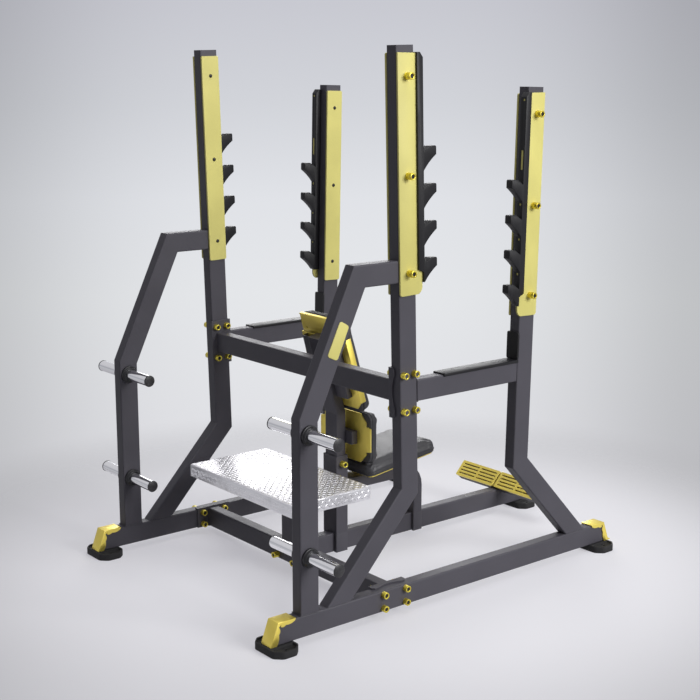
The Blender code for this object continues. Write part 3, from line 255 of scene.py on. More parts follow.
def black_oxide(name, colour, roughness, metallic):
    """Small turned parts: a fine bloom and worn edges on bolts, sleeves, collars and caps."""
    steel = Finish(name, colour, roughness, metallic)
    bloom = steel.noise(160.0, 4.0)
    worn = steel.edges(0.0012, 0.03, 0.3)
    body = steel.mix(bloom.step(0.35, 0.7), tinted(colour, 0.7), tinted(colour, 1.4))
    steel.base(steel.mix(worn * 0.5, body, tinted(colour, 3.5)))
    steel.set(Roughness=roughness - 0.05 + 0.14 * bloom)
    steel.emboss(bloom, 0.12, 0.0003, 0.0005)
    return steel.material


CHARCOAL = (0.084, 0.080, 0.096)
GOLD = (0.80, 0.73, 0.235)
FINISHES = {
    "frame": powder_coat("charcoal_coat", CHARCOAL, 0.50, 0.22, (0.19, 0.185, 0.20)),
    "yellow": powder_coat("gold_coat", GOLD, 0.46, 0.16, (0.92, 0.88, 0.52)),
    "liner": moulded_nylon("black_nylon", (0.0090, 0.0086, 0.0105), 0.46),
    "vinyl": grained_vinyl("seat_vinyl", (0.036, 0.035, 0.040)),
    "piping": grained_vinyl("piping_vinyl", (0.022, 0.021, 0.024)),
    "rubber": cast_rubber("foot_rubber", (0.014, 0.0135, 0.0145)),
    "chrome": turned_chrome("horn_chrome"),
    "deck": rolled_plate("checker_plate"),
    "bolt": black_oxide("bolt_steel", (0.030, 0.029, 0.030), 0.38, 0.7),
    "cap": black_oxide("horn_cap_plastic", (0.024, 0.023, 0.026), 0.40, 0.0),
    "collar": black_oxide("collar_steel", (0.020, 0.0195, 0.022), 0.34, 0.3),
    "sleeve": black_oxide("gilt_sleeve", (0.86, 0.64, 0.085), 0.28, 0.75),
    # gilt: a brighter, more saturated copy of the yellow coat, painted light for pieces that sit in shade
    "gilt": gilt_coat_painted_light("gilt_coat_painted_light", (0.97, 0.77, 0.15), (0.98, 0.90, 0.48)),
    "weld": powder_coat("coated_weld", tinted(CHARCOAL, 0.92), 0.46, 0.3, (0.17, 0.165, 0.18)),
}


# ---- pieces ----

SHARP = radians(28)        # edges sharper than this are rounded
SAME = 0.00001             # points nearer than this are one
BEAD_PITCH = 0.0035        # between the drops of a weld


def put(x, y, z):
    return Matrix.Translation((x, y, z))


def spun(angle, axis):
    return Matrix.Rotation(angle, 4, axis)


def corners_of(node):
    return (Vector(corner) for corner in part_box(node))


def added(name, data):
    piece = bpy.data.objects.new(name, data)
    bpy.context.scene.collection.objects.link(piece)
    return piece


def evaluated(piece):
    """A new mesh of a piece with its modifiers applied."""
    return bpy.data.meshes.new_from_object(piece.evaluated_get(bpy.context.evaluated_depsgraph_get()))


def finished(shape, name, finish, slot, replaced=(), smooth=40):
    """Turn a finished bmesh into a piece of the machine; smooth is the sharpest angle left smooth."""
    mesh = bpy.data.meshes.new(name)
    shape.to_mesh(mesh)
    shape.free()
    piece = added(name, mesh)
    mesh.materials.append(FINISHES[finish])
    if smooth:
        mesh.shade_smooth()
        mesh.set_sharp_from_angle(angle=radians(smooth))
    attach(piece, "root")
    if replaced:
        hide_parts(*replaced)
    return piece


def moved(shape, matrix):
    bmesh.ops.transform(shape, matrix=matrix, verts=shape.verts)
    return shape


def merged(target, shape):
    """Add one bmesh to another."""
    mesh = bpy.data.meshes.new("merged")
    shape.to_mesh(mesh)
    shape.free()
    target.from_mesh(mesh)
    bpy.data.meshes.remove(mesh)


def box_shape(low, high):
    shape = bmesh.new()
    bmesh.ops.create_cube(shape, size=1)
    low, high = Vector(low), Vector(high)
    bmesh.ops.scale(shape, verts=shape.verts, vec=high - low)
    bmesh.ops.translate(shape, verts=shape.verts, vec=(low + high) / 2)
    return shape


def bevelled(shape, edges, radius, segments):
    bmesh.ops.bevel(shape, geom=list(edges), offset=radius, segments=segments, affect="EDGES",
                    profile=0.5, material=-1, clamp_overlap=True)
    return shape


def turned(profile, segments):
    """Spin a profile of radius and height about local z, closed at both ends."""
    shape = bmesh.new()
    verts = [shape.verts.new((radius, 0, height)) for radius, height in profile]
    edges = [shape.edges.new(pair) for pair in zip(verts, verts[1:])]
    bmesh.ops.spin(shape, geom=[*verts, *edges], cent=(0, 0, 0), axis=(0, 0, 1), angle=2 * pi, steps=segments,
                   use_merge=True)
    bmesh.ops.remove_doubles(shape, verts=shape.verts, dist=SAME)
    bmesh.ops.recalc_face_normals(shape, faces=shape.faces)
    return shape


def roped(name, runs, radius, finish, slot, ripple=0.0):
    """A round bead along closed runs of points; ripple makes it the stacked drops of a weld."""
    curve = bpy.data.curves.new(name, "CURVE")
    curve.dimensions = "3D"
    curve.bevel_depth = radius
    curve.bevel_resolution = 1
    for points in runs:
        points = stepped(points) if ripple else points
        spline = curve.splines.new("POLY")
        spline.points.add(len(points) - 1)
        for index, (handle, point) in enumerate(zip(spline.points, points)):
            handle.co = (*point, 1)
            handle.radius = 1 + ripple * (-1) ** index
        spline.use_cyclic_u = True
    rope = added(name, curve)
    shape = bmesh.new()
    shape.from_mesh(evaluated(rope))
    bpy.data.objects.remove(rope)
    bmesh.ops.recalc_face_normals(shape, faces=shape.faces)
    finished(shape, name, finish, slot, smooth=60)


def stepped(points):
    """The same closed run with a point every BEAD_PITCH."""
    points = [Vector(point) for point in points]
    out = []
    for start, end in zip(points, points[1:] + points[:1]):
        count = max(1, round((end - start).length / BEAD_PITCH))
        out += [start.lerp(end, index / count) for index in range(count)]
    return out


def sharp_edges(shape):
    return [edge for edge in shape.edges if len(edge.link_faces) == 2 and edge.calc_face_angle(0) > SHARP]


def upright_edges(shape, taller_than):
    return [edge for edge in shape.edges if abs(edge.verts[0].co.z - edge.verts[1].co.z) > taller_than]


def made(shape, rounding, segments, place, *names):
    """Round a shape's sharp edges, put it in its place and finish it."""
    bevelled(shape, sharp_edges(shape), rounding, segments)
    finished(moved(shape, place), *names)


def slab(outline, low, high):
    """A flat outline drawn out from one height to another."""
    shape = bmesh.new()
    face = shape.faces.new([shape.verts.new((across, up, low)) for across, up in outline])
    drawn = bmesh.ops.extrude_face_region(shape, geom=[face])["geom"]
    bmesh.ops.translate(shape, verts=[item for item in drawn if isinstance(item, bmesh.types.BMVert)],
                        vec=(0, 0, high - low))
    bmesh.ops.recalc_face_normals(shape, faces=shape.faces)
    return shape


def cut(shape, tools):
    """Take shapes away from a shape."""
    items = []
    for solid in (shape, *tools):
        mesh = bpy.data.meshes.new("solid")
        solid.to_mesh(mesh)
        solid.free()
        items.append(added("solid", mesh))
    for tool in items[1:]:
        modifier = items[0].modifiers.new("cut", "BOOLEAN")
        modifier.operation = "DIFFERENCE"
        modifier.solver = "EXACT"
        modifier.object = tool
    left = bmesh.new()
    left.from_mesh(evaluated(items[0]))
    for item in items:
        bpy.data.objects.remove(item)
    bmesh.ops.remove_doubles(left, verts=left.verts, dist=SAME)
    bmesh.ops.dissolve_limit(left, angle_limit=radians(0.5), verts=left.verts, edges=left.edges)
    return left


def arc(start, end, sag, steps):
    """Points along a shallow arc; a positive sag rises to the left of the way from start to end."""
    start, end = Vector(start), Vector(end)
    left = Vector((start.y - end.y, end.x - start.x)).normalized()
    shares = [index / steps for index in range(steps + 1)]
    return [tuple(start.lerp(end, share) + left * sag * 4 * share * (1 - share)) for share in shares]


def mirrored(right):
    """A whole outline from the half on its right, given from the foot up."""
    return right + [(-across, up) for across, up in right[::-1]]


def span(side, inner, outer):
    return (inner, outer) if side > 0 else (-outer, -inner)


# ---- sizes that the pieces share ----

GAP = 0.0003
OVER = 0.01                # how far a cutter runs past what it cuts
SINK = 0.001               # how deep a sleeve is set into its seat
SHEET_EDGE = 0.0012        # rounding of a sheet's edges, and of finer ones
FINE_EDGE = 0.0009
HALF_OUT = 0.630           # outer faces of the columns and base beams
TUBE_WIDE = 0.050
TUBE_DEEP = 0.080
HALF_IN = HALF_OUT - TUBE_WIDE
TUBE_X = HALF_OUT - TUBE_WIDE / 2
FOOT_HIGH = 0.027
BASE_LOW = FOOT_HIGH + GAP
BASE_TOP = BASE_LOW + TUBE_DEEP
SIDE_BEAM_TOP = 0.871
LOWER_BEAM_Y = -0.3905
SADDLE_X = HALF_IN - GAP - 0.006
SEAT_TILT = radians(7.7)
RECLINE = radians(15.2)
FLAT = Matrix.Identity(4)
ALONG = Matrix(((0, 0, 1, 0), (1, 0, 0, 0), (0, 1, 0, 0), (0, 0, 0, 1)))     # (y, z), out along +x
FACING = Matrix(((1, 0, 0, 0), (0, 0, -1, 0), (0, 1, 0, 0), (0, 0, 0, 1)))   # (x, z), out along -y


class Column:
    """One leaning column, in a frame of its own: +y out of its hooked face, +z up along it."""

    def __init__(self, word, facing, face_y, lean, top, plate_drop):
        self.word = word
        self.facing = facing
        turn = FLAT if facing > 0 else spun(pi, "Z")
        self.frame = put(0, face_y, 0) @ turn @ spun(lean, "X")
        self.lean = lean
        self.face_y = face_y
        self.plate_top = top / cos(lean) - plate_drop

    def face_at(self, z):
        return self.face_y - self.facing * z * tan(self.lean)

    def sideways(self, side, x, y, z):
        """A place on the column's side, with local z pointing out of that side."""
        sign = side * self.facing
        return self.frame @ put(sign * x, y, z) @ spun(sign * pi / 2, "Y")


REAR = Column("rear", 1, -0.2676, radians(1.56), 2.042, 0.0245)
FRONT = Column("front", -1, 0.2042, radians(1.24), 1.899, 0.0195)


# ---- hook units ----

PLATE_SHEET = 0.008
PLATE_LONG = 0.835
PLATE_CHAMFER = 0.018
PLATE_FOOT = 0.031         # height of the plate's rounded foot corner
PLATE_TOE = 0.005          # where that corner's arc ends, and its sag
PLATE_SAG = 0.006
PLATE_CLIP = 0.007
PLATE_BOLTS = (0.079, 0.417, 0.756)
LINER_FACE = 0.0265        # out from the column's face
LINER_WALL = 0.003
LINER_WIDE = 0.030
LINER_OFFSET = 0.0023
HOOKS = 4
HOOK_FIRST = 0.3186
HOOK_PITCH = 0.1302
HOOK_REACH = 0.085
HOOK_FLAT = 0.028
HOOK_NOSE = 0.030
HOOK_VALLEY = 0.0195
HOOK_DEEP = 0.0843
HOOK_EDGE = 0.004
HOOK_WAIST = 0.0035
WINDOWS = ((0.024, 0.009, 0.0085), (0.2115, 0.072, 0.010))    # drop, length and width
HOOK_WINDOW = (0.0885, 0.009, 0.0085)
FOOT_WINDOW = (0.7412, 0.7578)
CHIP_SUNK = 0.0008         # of the yellow chips in the windows, below the liner's face
CHIP_EDGE = 0.0003
WINDOW_CUT = (0.015, 0.040)          # how deep a window's cutter reaches, from the column's face
PLATE_SLEEVE = 0.029       # lengths of the sleeves on the plates, uprights, saddles, flange and socket
UPRIGHT_SLEEVE = 0.020
SADDLE_SLEEVE = 0.018
FLANGE_SLEEVE = 0.025
SOCKET_SLEEVE = 0.024
UPRIGHT_BOLTS = (0.0255, 0.0665)     # half the spacing of four bolts, across and along
BASE_BOLTS = (0.0525, 0.026)
FLANGE_BOLTS = (0.062, 0.0225)
SOCKET_BOLT = (0.018, -0.1675, 0.401)     # in from the socket's side, y and z
SLEEVE_RADIUS = 0.0125
SLEEVE_BORE = 0.0076
SLEEVE_RIM = 0.0010
SLEEVE_FLOOR = 0.006       # depth of the socket's floor; the bolt's head fills the end from BOLT_SUNK
BOLT_SUNK = 0.0030
BOLT_TALL = 0.0025


def hook_edge(inset):
    """The hooked edge of a liner (inset 0), or of the plate in it, from the top: distance out, height."""
    face, reach = LINER_FACE - inset, HOOK_REACH - inset
    points = [(face - PLATE_CHAMFER * 0.75 + inset * 0.5, -inset), (face, -PLATE_CHAMFER - inset * 0.5)]
    for index in range(HOOKS):
        tip = -HOOK_FIRST - index * HOOK_PITCH
        top = tip - inset
        points += [(face, top - HOOK_VALLEY), (HOOK_REACH - HOOK_FLAT + inset * 0.3, top),
                   (reach - HOOK_EDGE, top), (reach, top - HOOK_EDGE)]
        points += arc((reach, tip - HOOK_NOSE + inset * 0.4), (face, tip - HOOK_DEEP + inset), -HOOK_WAIST, 5)
    return points


def plate_outline(grow=0.0):
    """The hook plate: as deep as the column, with the hooks' cores along one edge and a rounded foot."""
    edge = hook_edge(LINER_WALL - grow)
    back, foot = -TUBE_DEEP - grow, -PLATE_LONG - grow
    corner = (edge[-1][0], foot + PLATE_FOOT)
    return [(back, grow), *edge, *arc(corner, (PLATE_TOE + grow, foot), PLATE_SAG, 6),
            (back + PLATE_CLIP, foot), (back, foot + PLATE_CLIP)]


def build_hook_units():
    sleeves, screws = [], []
    for column in (REAR, FRONT):
        top = column.frame @ put(0, 0, column.plate_top) @ ALONG
        for word, side in SIDES.items():
            tail = f"{column.word}_{word}"
            sign = side * column.facing
            low, high = span(sign, HALF_OUT + GAP, HALF_OUT + GAP + PLATE_SHEET)
            plate = slab(plate_outline(), low, high)
            made(plate, SHEET_EDGE, 2, top,
                 "cut_hook_plate_" + tail, "yellow", "yellow", ["hook_plate_" + tail])
            build_liner(tail, sign, top)
            for drop in PLATE_BOLTS:
                height = column.plate_top - drop
                face = HALF_OUT + GAP + PLATE_SHEET
                sleeves.append((column.sideways(side, face, -TUBE_DEEP / 2, height), PLATE_SLEEVE))
                inner = put(sign * (HALF_IN - GAP - PLATE_SHEET), -TUBE_DEEP / 2, height)
                screws.append(column.frame @ inner @ spun(-sign * pi / 2, "Y"))
    return sleeves, screws


def build_liner(tail, sign, top):
    """A liner: the hooked outline with the plate's edge sunk in it, windows in its face, and a cut cheek."""
    middle = HALF_OUT + GAP + PLATE_SHEET / 2
    centre, edge = middle - LINER_OFFSET, PLATE_SHEET / 2 + GAP
    end = hook_edge(0.0)[-1][1]
    outline = [(GAP, 0.0), *hook_edge(0.0), (GAP, end)]
    liner = slab(outline, *span(sign, centre - LINER_WIDE / 2, centre + LINER_WIDE / 2))
    tools = [slab(plate_outline(GAP), *span(sign, middle - edge, middle + edge))]
    chips = bmesh.new()
    openings = list(WINDOWS)
    for index in range(HOOKS - 1):
        drop, length, width = HOOK_WINDOW
        openings.append((HOOK_FIRST + index * HOOK_PITCH + drop, length, width))
    for drop, length, width in openings:
        inner, outer = WINDOW_CUT
        box = [(inner, -drop - length), (outer, -drop - length), (outer, -drop), (inner, -drop)]
        tools.append(slab(box, sign * middle - width / 2, sign * middle + width / 2))
        low, high = LINER_FACE - LINER_WALL - GAP, LINER_FACE - CHIP_SUNK
        foot, head = -drop - length + GAP, -drop - GAP
        chip = slab([(low, foot), (high, foot), (high, head), (low, head)],
                    sign * middle - width / 2 + GAP, sign * middle + width / 2 - GAP)
        merged(chips, bevelled(chip, chip.edges[:], CHIP_EDGE, 1))
    finished(moved(chips, top), "window_chips_" + tail, "yellow", "yellow")
    near, far = FOOT_WINDOW
    reach = LINER_FACE - LINER_WALL
    cheek = [(-OVER, -near), (reach, -far), (reach, -PLATE_LONG), (-OVER, -PLATE_LONG)]
    tools.append(slab(cheek, *span(sign, middle + edge - GAP / 2, middle + LINER_WIDE)))
    made(cut(liner, tools), FINE_EDGE, 2, top,
         "moulded_liner_" + tail, "liner", "liner", ["hook_liner_" + tail])


def socket_sleeve(length):
    """A gilt sleeve with a rounded rim and an open socket, standing on z = 0."""
    radius, bore, rim, floor = SLEEVE_RADIUS, SLEEVE_BORE, SLEEVE_RIM, length - SLEEVE_FLOOR
    profile = [(radius, -SINK), (radius, length - rim), (radius - rim * 0.3, length - rim * 0.3),
               (radius - rim, length), (bore + rim, length), (bore + rim * 0.3, length - rim * 0.3),
               (bore, length - rim), (bore, floor), (0, floor), (0, -SINK), (radius, -SINK)]
    return turned(profile, 28)


def build_fasteners(sleeves, screws):
    """Gilt sleeves with dark socket bolts in them, and button heads on the backing plates."""
    middle_z = (SIDE_BEAM_TOP - TUBE_DEEP / 2) / cos(REAR.lean)
    beam_z = BASE_LOW + TUBE_DEEP / 2
    for side in SIDES.values():
        for across, up in FOUR:
            y, z = -TUBE_DEEP / 2 + across * UPRIGHT_BOLTS[0], middle_z + up * UPRIGHT_BOLTS[1]
            sleeves += [(REAR.sideways(side, HALF_OUT, y, z), UPRIGHT_SLEEVE),
                        (REAR.sideways(-side, -SADDLE_X, y, z), SADDLE_SLEEVE)]
            y, z = LOWER_BEAM_Y + across * BASE_BOLTS[0], beam_z + up * BASE_BOLTS[1]
            for x, facing in ((HALF_OUT, side), (SADDLE_X, -side)):
                sleeves.append((put(side * x, y, z) @ spun(facing * pi / 2, "Y"), SADDLE_SLEEVE))
    for across, up in FOUR:
        place = put(across * FLANGE_BOLTS[0], LOWER_BEAM_Y - TUBE_WIDE / 2, beam_z + up * FLANGE_BOLTS[1])
        sleeves.append((place @ spun(pi / 2, "X"), FLANGE_SLEEVE))
    inset, y, z = SOCKET_BOLT
    place = put(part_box("post_socket")[1][0] - inset, y, z)
    sleeves.append((place @ spun(pi / 2, "Y"), SOCKET_SLEEVE))
    gilt, sockets, heads = bmesh.new(), bmesh.new(), bmesh.new()
    for place, length in sleeves:
        merged(gilt, moved(socket_sleeve(length), place))
        head, foot = length - BOLT_SUNK, length - BOLT_SUNK - BOLT_TALL
        merged(sockets, moved(turned([(0, head), (SLEEVE_BORE, head), (SLEEVE_BORE, foot)], 20), place))
    button = [(0, 0.0042), (0.0030, 0.0040), (0.0058, 0.0030), (0.0075, 0.0008), (0.0075, -0.0005),
              (0, -0.0005)]
    for place in screws:
        merged(heads, moved(turned(button, 24), place))
    finished(gilt, "gilt_sleeves", "sleeve", "yellow")
    finished(sockets, "socket_bolts", "bolt", "liner")
    finished(heads, "button_bolts", "bolt", "liner")


build_fasteners(*build_hook_units())


# ---- base ----

BASE_ENDS = {"rear": (-0.946, -1, 0.0), "front": (0.788, 1, 0.011)}     # lower corner, outward, toe
END_SLANT = 0.030 / TUBE_DEEP
CLIP_SHEET = 0.004
CLIP_LONG = 0.072
CLIP_DROP = 0.013
CLIP_FLANGE = 0.022
CLIP_NOTCH = 0.013
CLIP_LOBE = 0.004
FOOT_CHAMFER = 0.028
FOOT_RIM = 0.009
FOOT_DISH = 0.007
FOOT_SOLE = 0.012          # under a foot's bolt hole
FOOT_BOLT = 0.0055
FOOT_SEAT = 0.004          # between a clip and the dish beside it
FOOT_CORNER = 0.008
FOOT_EDGE = 0.0016


def clip_outline(end, sign, toe):
    """A foot clip seen from the side: scalloped flanges on both strips, a notch between them, a toe."""
    out = GAP + CLIP_SHEET
    low, high = BASE_LOW + GAP, BASE_TOP + out

    def at(inset, z):
        return end - sign * (inset + END_SLANT * (z - BASE_LOW)), z

    under, corner = BASE_TOP - CLIP_DROP, BASE_TOP - CLIP_NOTCH
    middle_z = (BASE_LOW + BASE_TOP) / 2
    top_edge = [at(CLIP_LONG, BASE_TOP - CLIP_LOBE), at(CLIP_LONG / 2, under + CLIP_LOBE / 2),
                at(CLIP_NOTCH, under)]
    end_edge = [at(CLIP_FLANGE / 2, corner - CLIP_LOBE), at(CLIP_FLANGE * 0.75, middle_z),
                at(CLIP_FLANGE, low)]
    points = [at(CLIP_LONG, high)]
    lobe = -sign * CLIP_LOBE
    points += arc(top_edge[0], top_edge[1], lobe, 5) + arc(top_edge[1], top_edge[2], lobe, 5)[1:]
    points += [at(CLIP_NOTCH, BASE_TOP - CLIP_LOBE), at(CLIP_NOTCH / 2, corner)]
    points += arc(end_edge[0], end_edge[1], lobe, 5) + arc(end_edge[1], end_edge[2], lobe, 5)[1:]
    points += [at(-out - toe, low), at(-out - toe, low + CLIP_SHEET)] if toe else [at(-out, low)]
    points += [at(-out, low + CLIP_SHEET)] if toe else []
    return points + [at(-out, high)]


def build_clips():
    half = TUBE_WIDE / 2 + GAP + CLIP_SHEET
    for end_word, (end, sign, toe) in BASE_ENDS.items():
        for word, side in SIDES.items():
            clip = slab(clip_outline(end, sign, toe), -half, half)
            near = end + sign * (GAP + END_SLANT * OVER)
            far = end - sign * (END_SLANT * (TUBE_DEEP + GAP) - GAP)
            beam = -sign * 0.2 + end
            inside = [(beam, BASE_LOW - OVER), (near, BASE_LOW - OVER),
                      (far, BASE_TOP + GAP), (beam, BASE_TOP + GAP)]
            clip = cut(clip, [slab(inside, CLIP_SHEET - half, half - CLIP_SHEET)])
            made(clip, FINE_EDGE, 2, put(side * TUBE_X, 0, 0) @ ALONG,
                 f"folded_clip_{end_word}_{word}", "gilt", "yellow", [f"foot_clip_{end_word}_{word}"])


def build_feet():
    """Cast feet: clipped corners, a rounded rim, and a dish on each side of the beam."""
    for node in sorted(name for name in NODES if name.startswith("rubber_foot_")):
        low, high = corners_of(node)
        middle, half = (low + high) / 2, (high - low) / 2
        chamfer, rim, bolt = FOOT_CHAMFER, FOOT_RIM, FOOT_BOLT
        seat = TUBE_WIDE / 2 + CLIP_SHEET + FOOT_SEAT
        across, along = half.x, half.y
        foot = slab(mirrored([(across - chamfer, -along), (across, chamfer - along),
                              (across, along - chamfer), (across - chamfer, along)]), 0.0, FOOT_HIGH)
        bevelled(foot, upright_edges(foot, FOOT_HIGH / 2), FOOT_CORNER, 3)
        dishes = []
        for sign in WALL_SIDES:
            inner, outer = sign * seat, sign * (across - rim)
            cutback = sign * (across - chamfer)
            dish = [(inner, rim - along), (cutback, rim - along), (outer, chamfer - along),
                    (outer, along - chamfer), (cutback, along - rim), (inner, along - rim)]
            dishes.append(slab(dish if sign > 0 else dish[::-1], FOOT_HIGH - FOOT_DISH, FOOT_HIGH + OVER))
            hole = turned([(bolt, 0.0), (bolt, FOOT_HIGH), (0, FOOT_HIGH), (0, 0), (bolt, 0)], 18)
            dishes.append(moved(hole, put(sign * (across - chamfer), 0, FOOT_SOLE)))
        made(cut(foot, dishes), FOOT_EDGE, 2, put(middle.x, middle.y, 0),
             "cast_" + node, "rubber", "rubber", [node])


build_clips()
build_feet()


# ---- upholstery ----

PAD_START = 0.002          # how much smaller a pad starts, for the swelling
PAD_CORNER = 0.034
PAD_SHOULDER = 0.011
PAD_VOXEL = 0.0055
PAD_HELD = 0.45            # share of the thickness that the swelling leaves alone
PAD_PRESSURE = 4.0
PAD_FRAMES = 16
PAD_CAP = 0.006            # how far a point may move
PAD_CROWN = 0.004
CROWN_FROM = 0.6           # share of the thickness above which the crown lifts
PIPING = 0.0020
PIPING_HIGH = 0.24         # height of the seam as a share of the thickness
PIPING_SUNK = 0.0012


def pad_body(wide_low, wide_high, length, thick):
    """A block with round corners and soft shoulders, tapered along its length, standing on z = 0."""
    shape = box_shape((-wide_low / 2, 0, 0), (wide_low / 2, length, thick))
    for vert in shape.verts:
        if vert.co.y > length / 2:
            vert.co.x *= wide_high / wide_low
    bevelled(shape, upright_edges(shape, thick / 2), PAD_CORNER, 6)
    rim = [edge for edge in shape.edges if min(vert.co.z for vert in edge.verts) > thick - 0.0001
           and len([face for face in edge.link_faces if abs(face.normal.z) > 0.5]) == 1]
    bevelled(shape, rim, PAD_SHOULDER, 4)
    return shape


def inflated(piece, thick):
    """Swell a pad from inside while its lower part is held, then apply the result."""
    remesh = piece.modifiers.new("remesh", "REMESH")
    remesh.mode = "VOXEL"
    remesh.voxel_size = PAD_VOXEL
    start = evaluated(piece)
    piece.modifiers.remove(remesh)
    piece.data = start
    held = piece.vertex_groups.new(name="held")
    held.add([vert.index for vert in start.vertices if vert.co.z < thick * PAD_HELD], 1.0, "REPLACE")
    rest = [vert.co.copy() for vert in start.vertices]
    cloth = piece.modifiers.new("cloth", "CLOTH")
    cloth.settings.use_pressure = True
    cloth.settings.uniform_pressure_force = PAD_PRESSURE
    cloth.settings.effector_weights.gravity = 0.0
    cloth.settings.vertex_group_mass = "held"
    cloth.settings.quality = 4
    for step in range(1, PAD_FRAMES + 1):
        bpy.context.scene.frame_set(step)
    puffed = evaluated(piece)
    piece.modifiers.remove(cloth)
    for vert, before in zip(puffed.vertices, rest):
        shift = vert.co - before
        if shift.length > PAD_CAP:
            vert.co = before + shift.normalized() * PAD_CAP
    piece.data = puffed
    bpy.context.scene.frame_set(1)


def crowned(shape, half_wide, length, thick):
    """Lift the top face towards its middle."""
    for vert in shape.verts:
        if vert.co.z > thick * CROWN_FROM:
            across = min(1.0, abs(vert.co.x) / half_wide)
            along = min(1.0, abs(vert.co.y - length / 2) / (length / 2))
            vert.co.z += PAD_CROWN * (1 - across ** 2) * (1 - along ** 2)


def pad_outline(wide_low, wide_high, length, z):
    """Points round a pad at one height, for its piping."""
    points, reach = [], PAD_CORNER - PIPING_SUNK
    corners = [(wide_low / 2, 0, -pi / 2), (wide_high / 2, length, 0.0),
               (-wide_high / 2, length, pi / 2), (-wide_low / 2, 0, pi)]
    for x, y, begin in corners:
        centre_x = x - PAD_CORNER * (1 if x > 0 else -1)
        centre_y = y + PAD_CORNER if y == 0 else y - PAD_CORNER
        for step in range(9):
            turn = begin + pi / 2 * step / 8
            points.append(Vector((centre_x + reach * cos(turn), centre_y + reach * sin(turn), z)))
    return points


def upholster(node, place, wide_low, wide_high, length, thick):
    """One pad: a swollen body with a piped seam low on its side."""
    less = PAD_START
    body = pad_body(wide_low - less, wide_high - less, length - less, thick - less)
    moved(body, put(0, less / 2, 0.0))
    bmesh.ops.triangulate(body, faces=[face for face in body.faces if len(face.verts) > 4])
    pad = finished(body, "cushion_" + node, "vinyl", "vinyl", [node], smooth=0)
    pad.data.shade_smooth()
    inflated(pad, thick)
    shape = bmesh.new()
    shape.from_mesh(pad.data)
    crowned(shape, wide_low / 2, length, thick)
    moved(shape, place)
    shape.to_mesh(pad.data)
    shape.free()
    pad.data.shade_smooth()
    smooth = pad.modifiers.new("smooth", "SUBSURF")
    smooth.levels = smooth.render_levels = 1
    outline = pad_outline(wide_low, wide_high, length, thick * PIPING_HIGH)
    roped("piping_" + node, [[place @ point for point in outline]], PIPING, "piping", "vinyl")


UPRIGHT_PAGE = Matrix(((-1, 0, 0, 0), (0, 0, 1, 0), (0, 1, 0, 0), (0, 0, 0, 1)))
SEAT_PLACE = put(0, -0.104, 0.3505) @ spun(SEAT_TILT, "X")
BACK_FRAME = put(0, -0.087, 0.638) @ spun(RECLINE, "X") @ put(0, -0.055, 0)
BACK_PLACE = BACK_FRAME @ UPRIGHT_PAGE
LUMBAR_PLACE = put(0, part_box("lumbar_pad")[0][1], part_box("lumbar_pad")[0][2]) @ UPRIGHT_PAGE

upholster("seat_pad", SEAT_PLACE, 0.280, 0.280, 0.374, 0.050)
upholster("lumbar_pad", LUMBAR_PLACE, 0.315, 0.315, 0.208, 0.045)
upholster("back_pad", BACK_PLACE, 0.294, 0.262, 0.402, 0.051)


# ---- seat back, socket and small plates ----

BACK_LONG = 0.402
BACK_LOW_HALF = 0.147
BACK_TOP_HALF = 0.131
BACK_SHEET = 0.005
PLATE_LOW, PLATE_TOP = 0.020, 0.318        # heights of the back plate along the pad
PLATE_CORNER = 0.030
SIDE_CLEAR = 0.0015
SIDE_FLANGE = 0.022
GUARD_HALF = 0.128
GUARD_CORNER = 0.012
GUARD_LIP = 0.009
GUARD_OVER = 0.001         # above the pad's top
GUARD_SPACE = 0.003        # from the back plate
DRAIN_HOLE = 0.004
DRAIN_IN, DRAIN_UP = 0.030, 0.018
FOLD_EDGE = 0.0014
WELD = 0.0024              # radius of a weld bead, and how far its drops go above and below it
WELD_RIPPLE = 0.22
STRIP_SHEET = 0.005
STRIP_DROP = 0.006         # how far a wear strip wraps down the beam's sides
STRIP_REAR = -0.163
STRIP_SPACE = 0.001        # from the front column
LEG = (0.227, 0.275, 0.0375)         # the seat's leg: rear, front and half its width
CHEEK_OVER = 0.002         # above the spine
CHEEK_EDGE = 0.0015
BADGE = [(-0.6438, 1.1258), (-0.6047, 1.1040), (-0.6571, 0.9893), (-0.7001, 1.0088)]     # corners, (y, z)
BADGE_SHEET = 0.0022
BADGE_CORNER = 0.010
BADGE_EDGE = 0.0006
POST_REAR = -0.8185        # rear face of the storage posts
CARRIER_HALF = 0.105
CARRIER_LOW = 0.070
CARRIER_DEEP = 0.025
CARRIER_SHEET = 0.004


def pad_half(height, grow):
    """Half the back pad's width at a height along it."""
    return BACK_LOW_HALF + (BACK_TOP_HALF - BACK_LOW_HALF) * height / BACK_LONG + grow


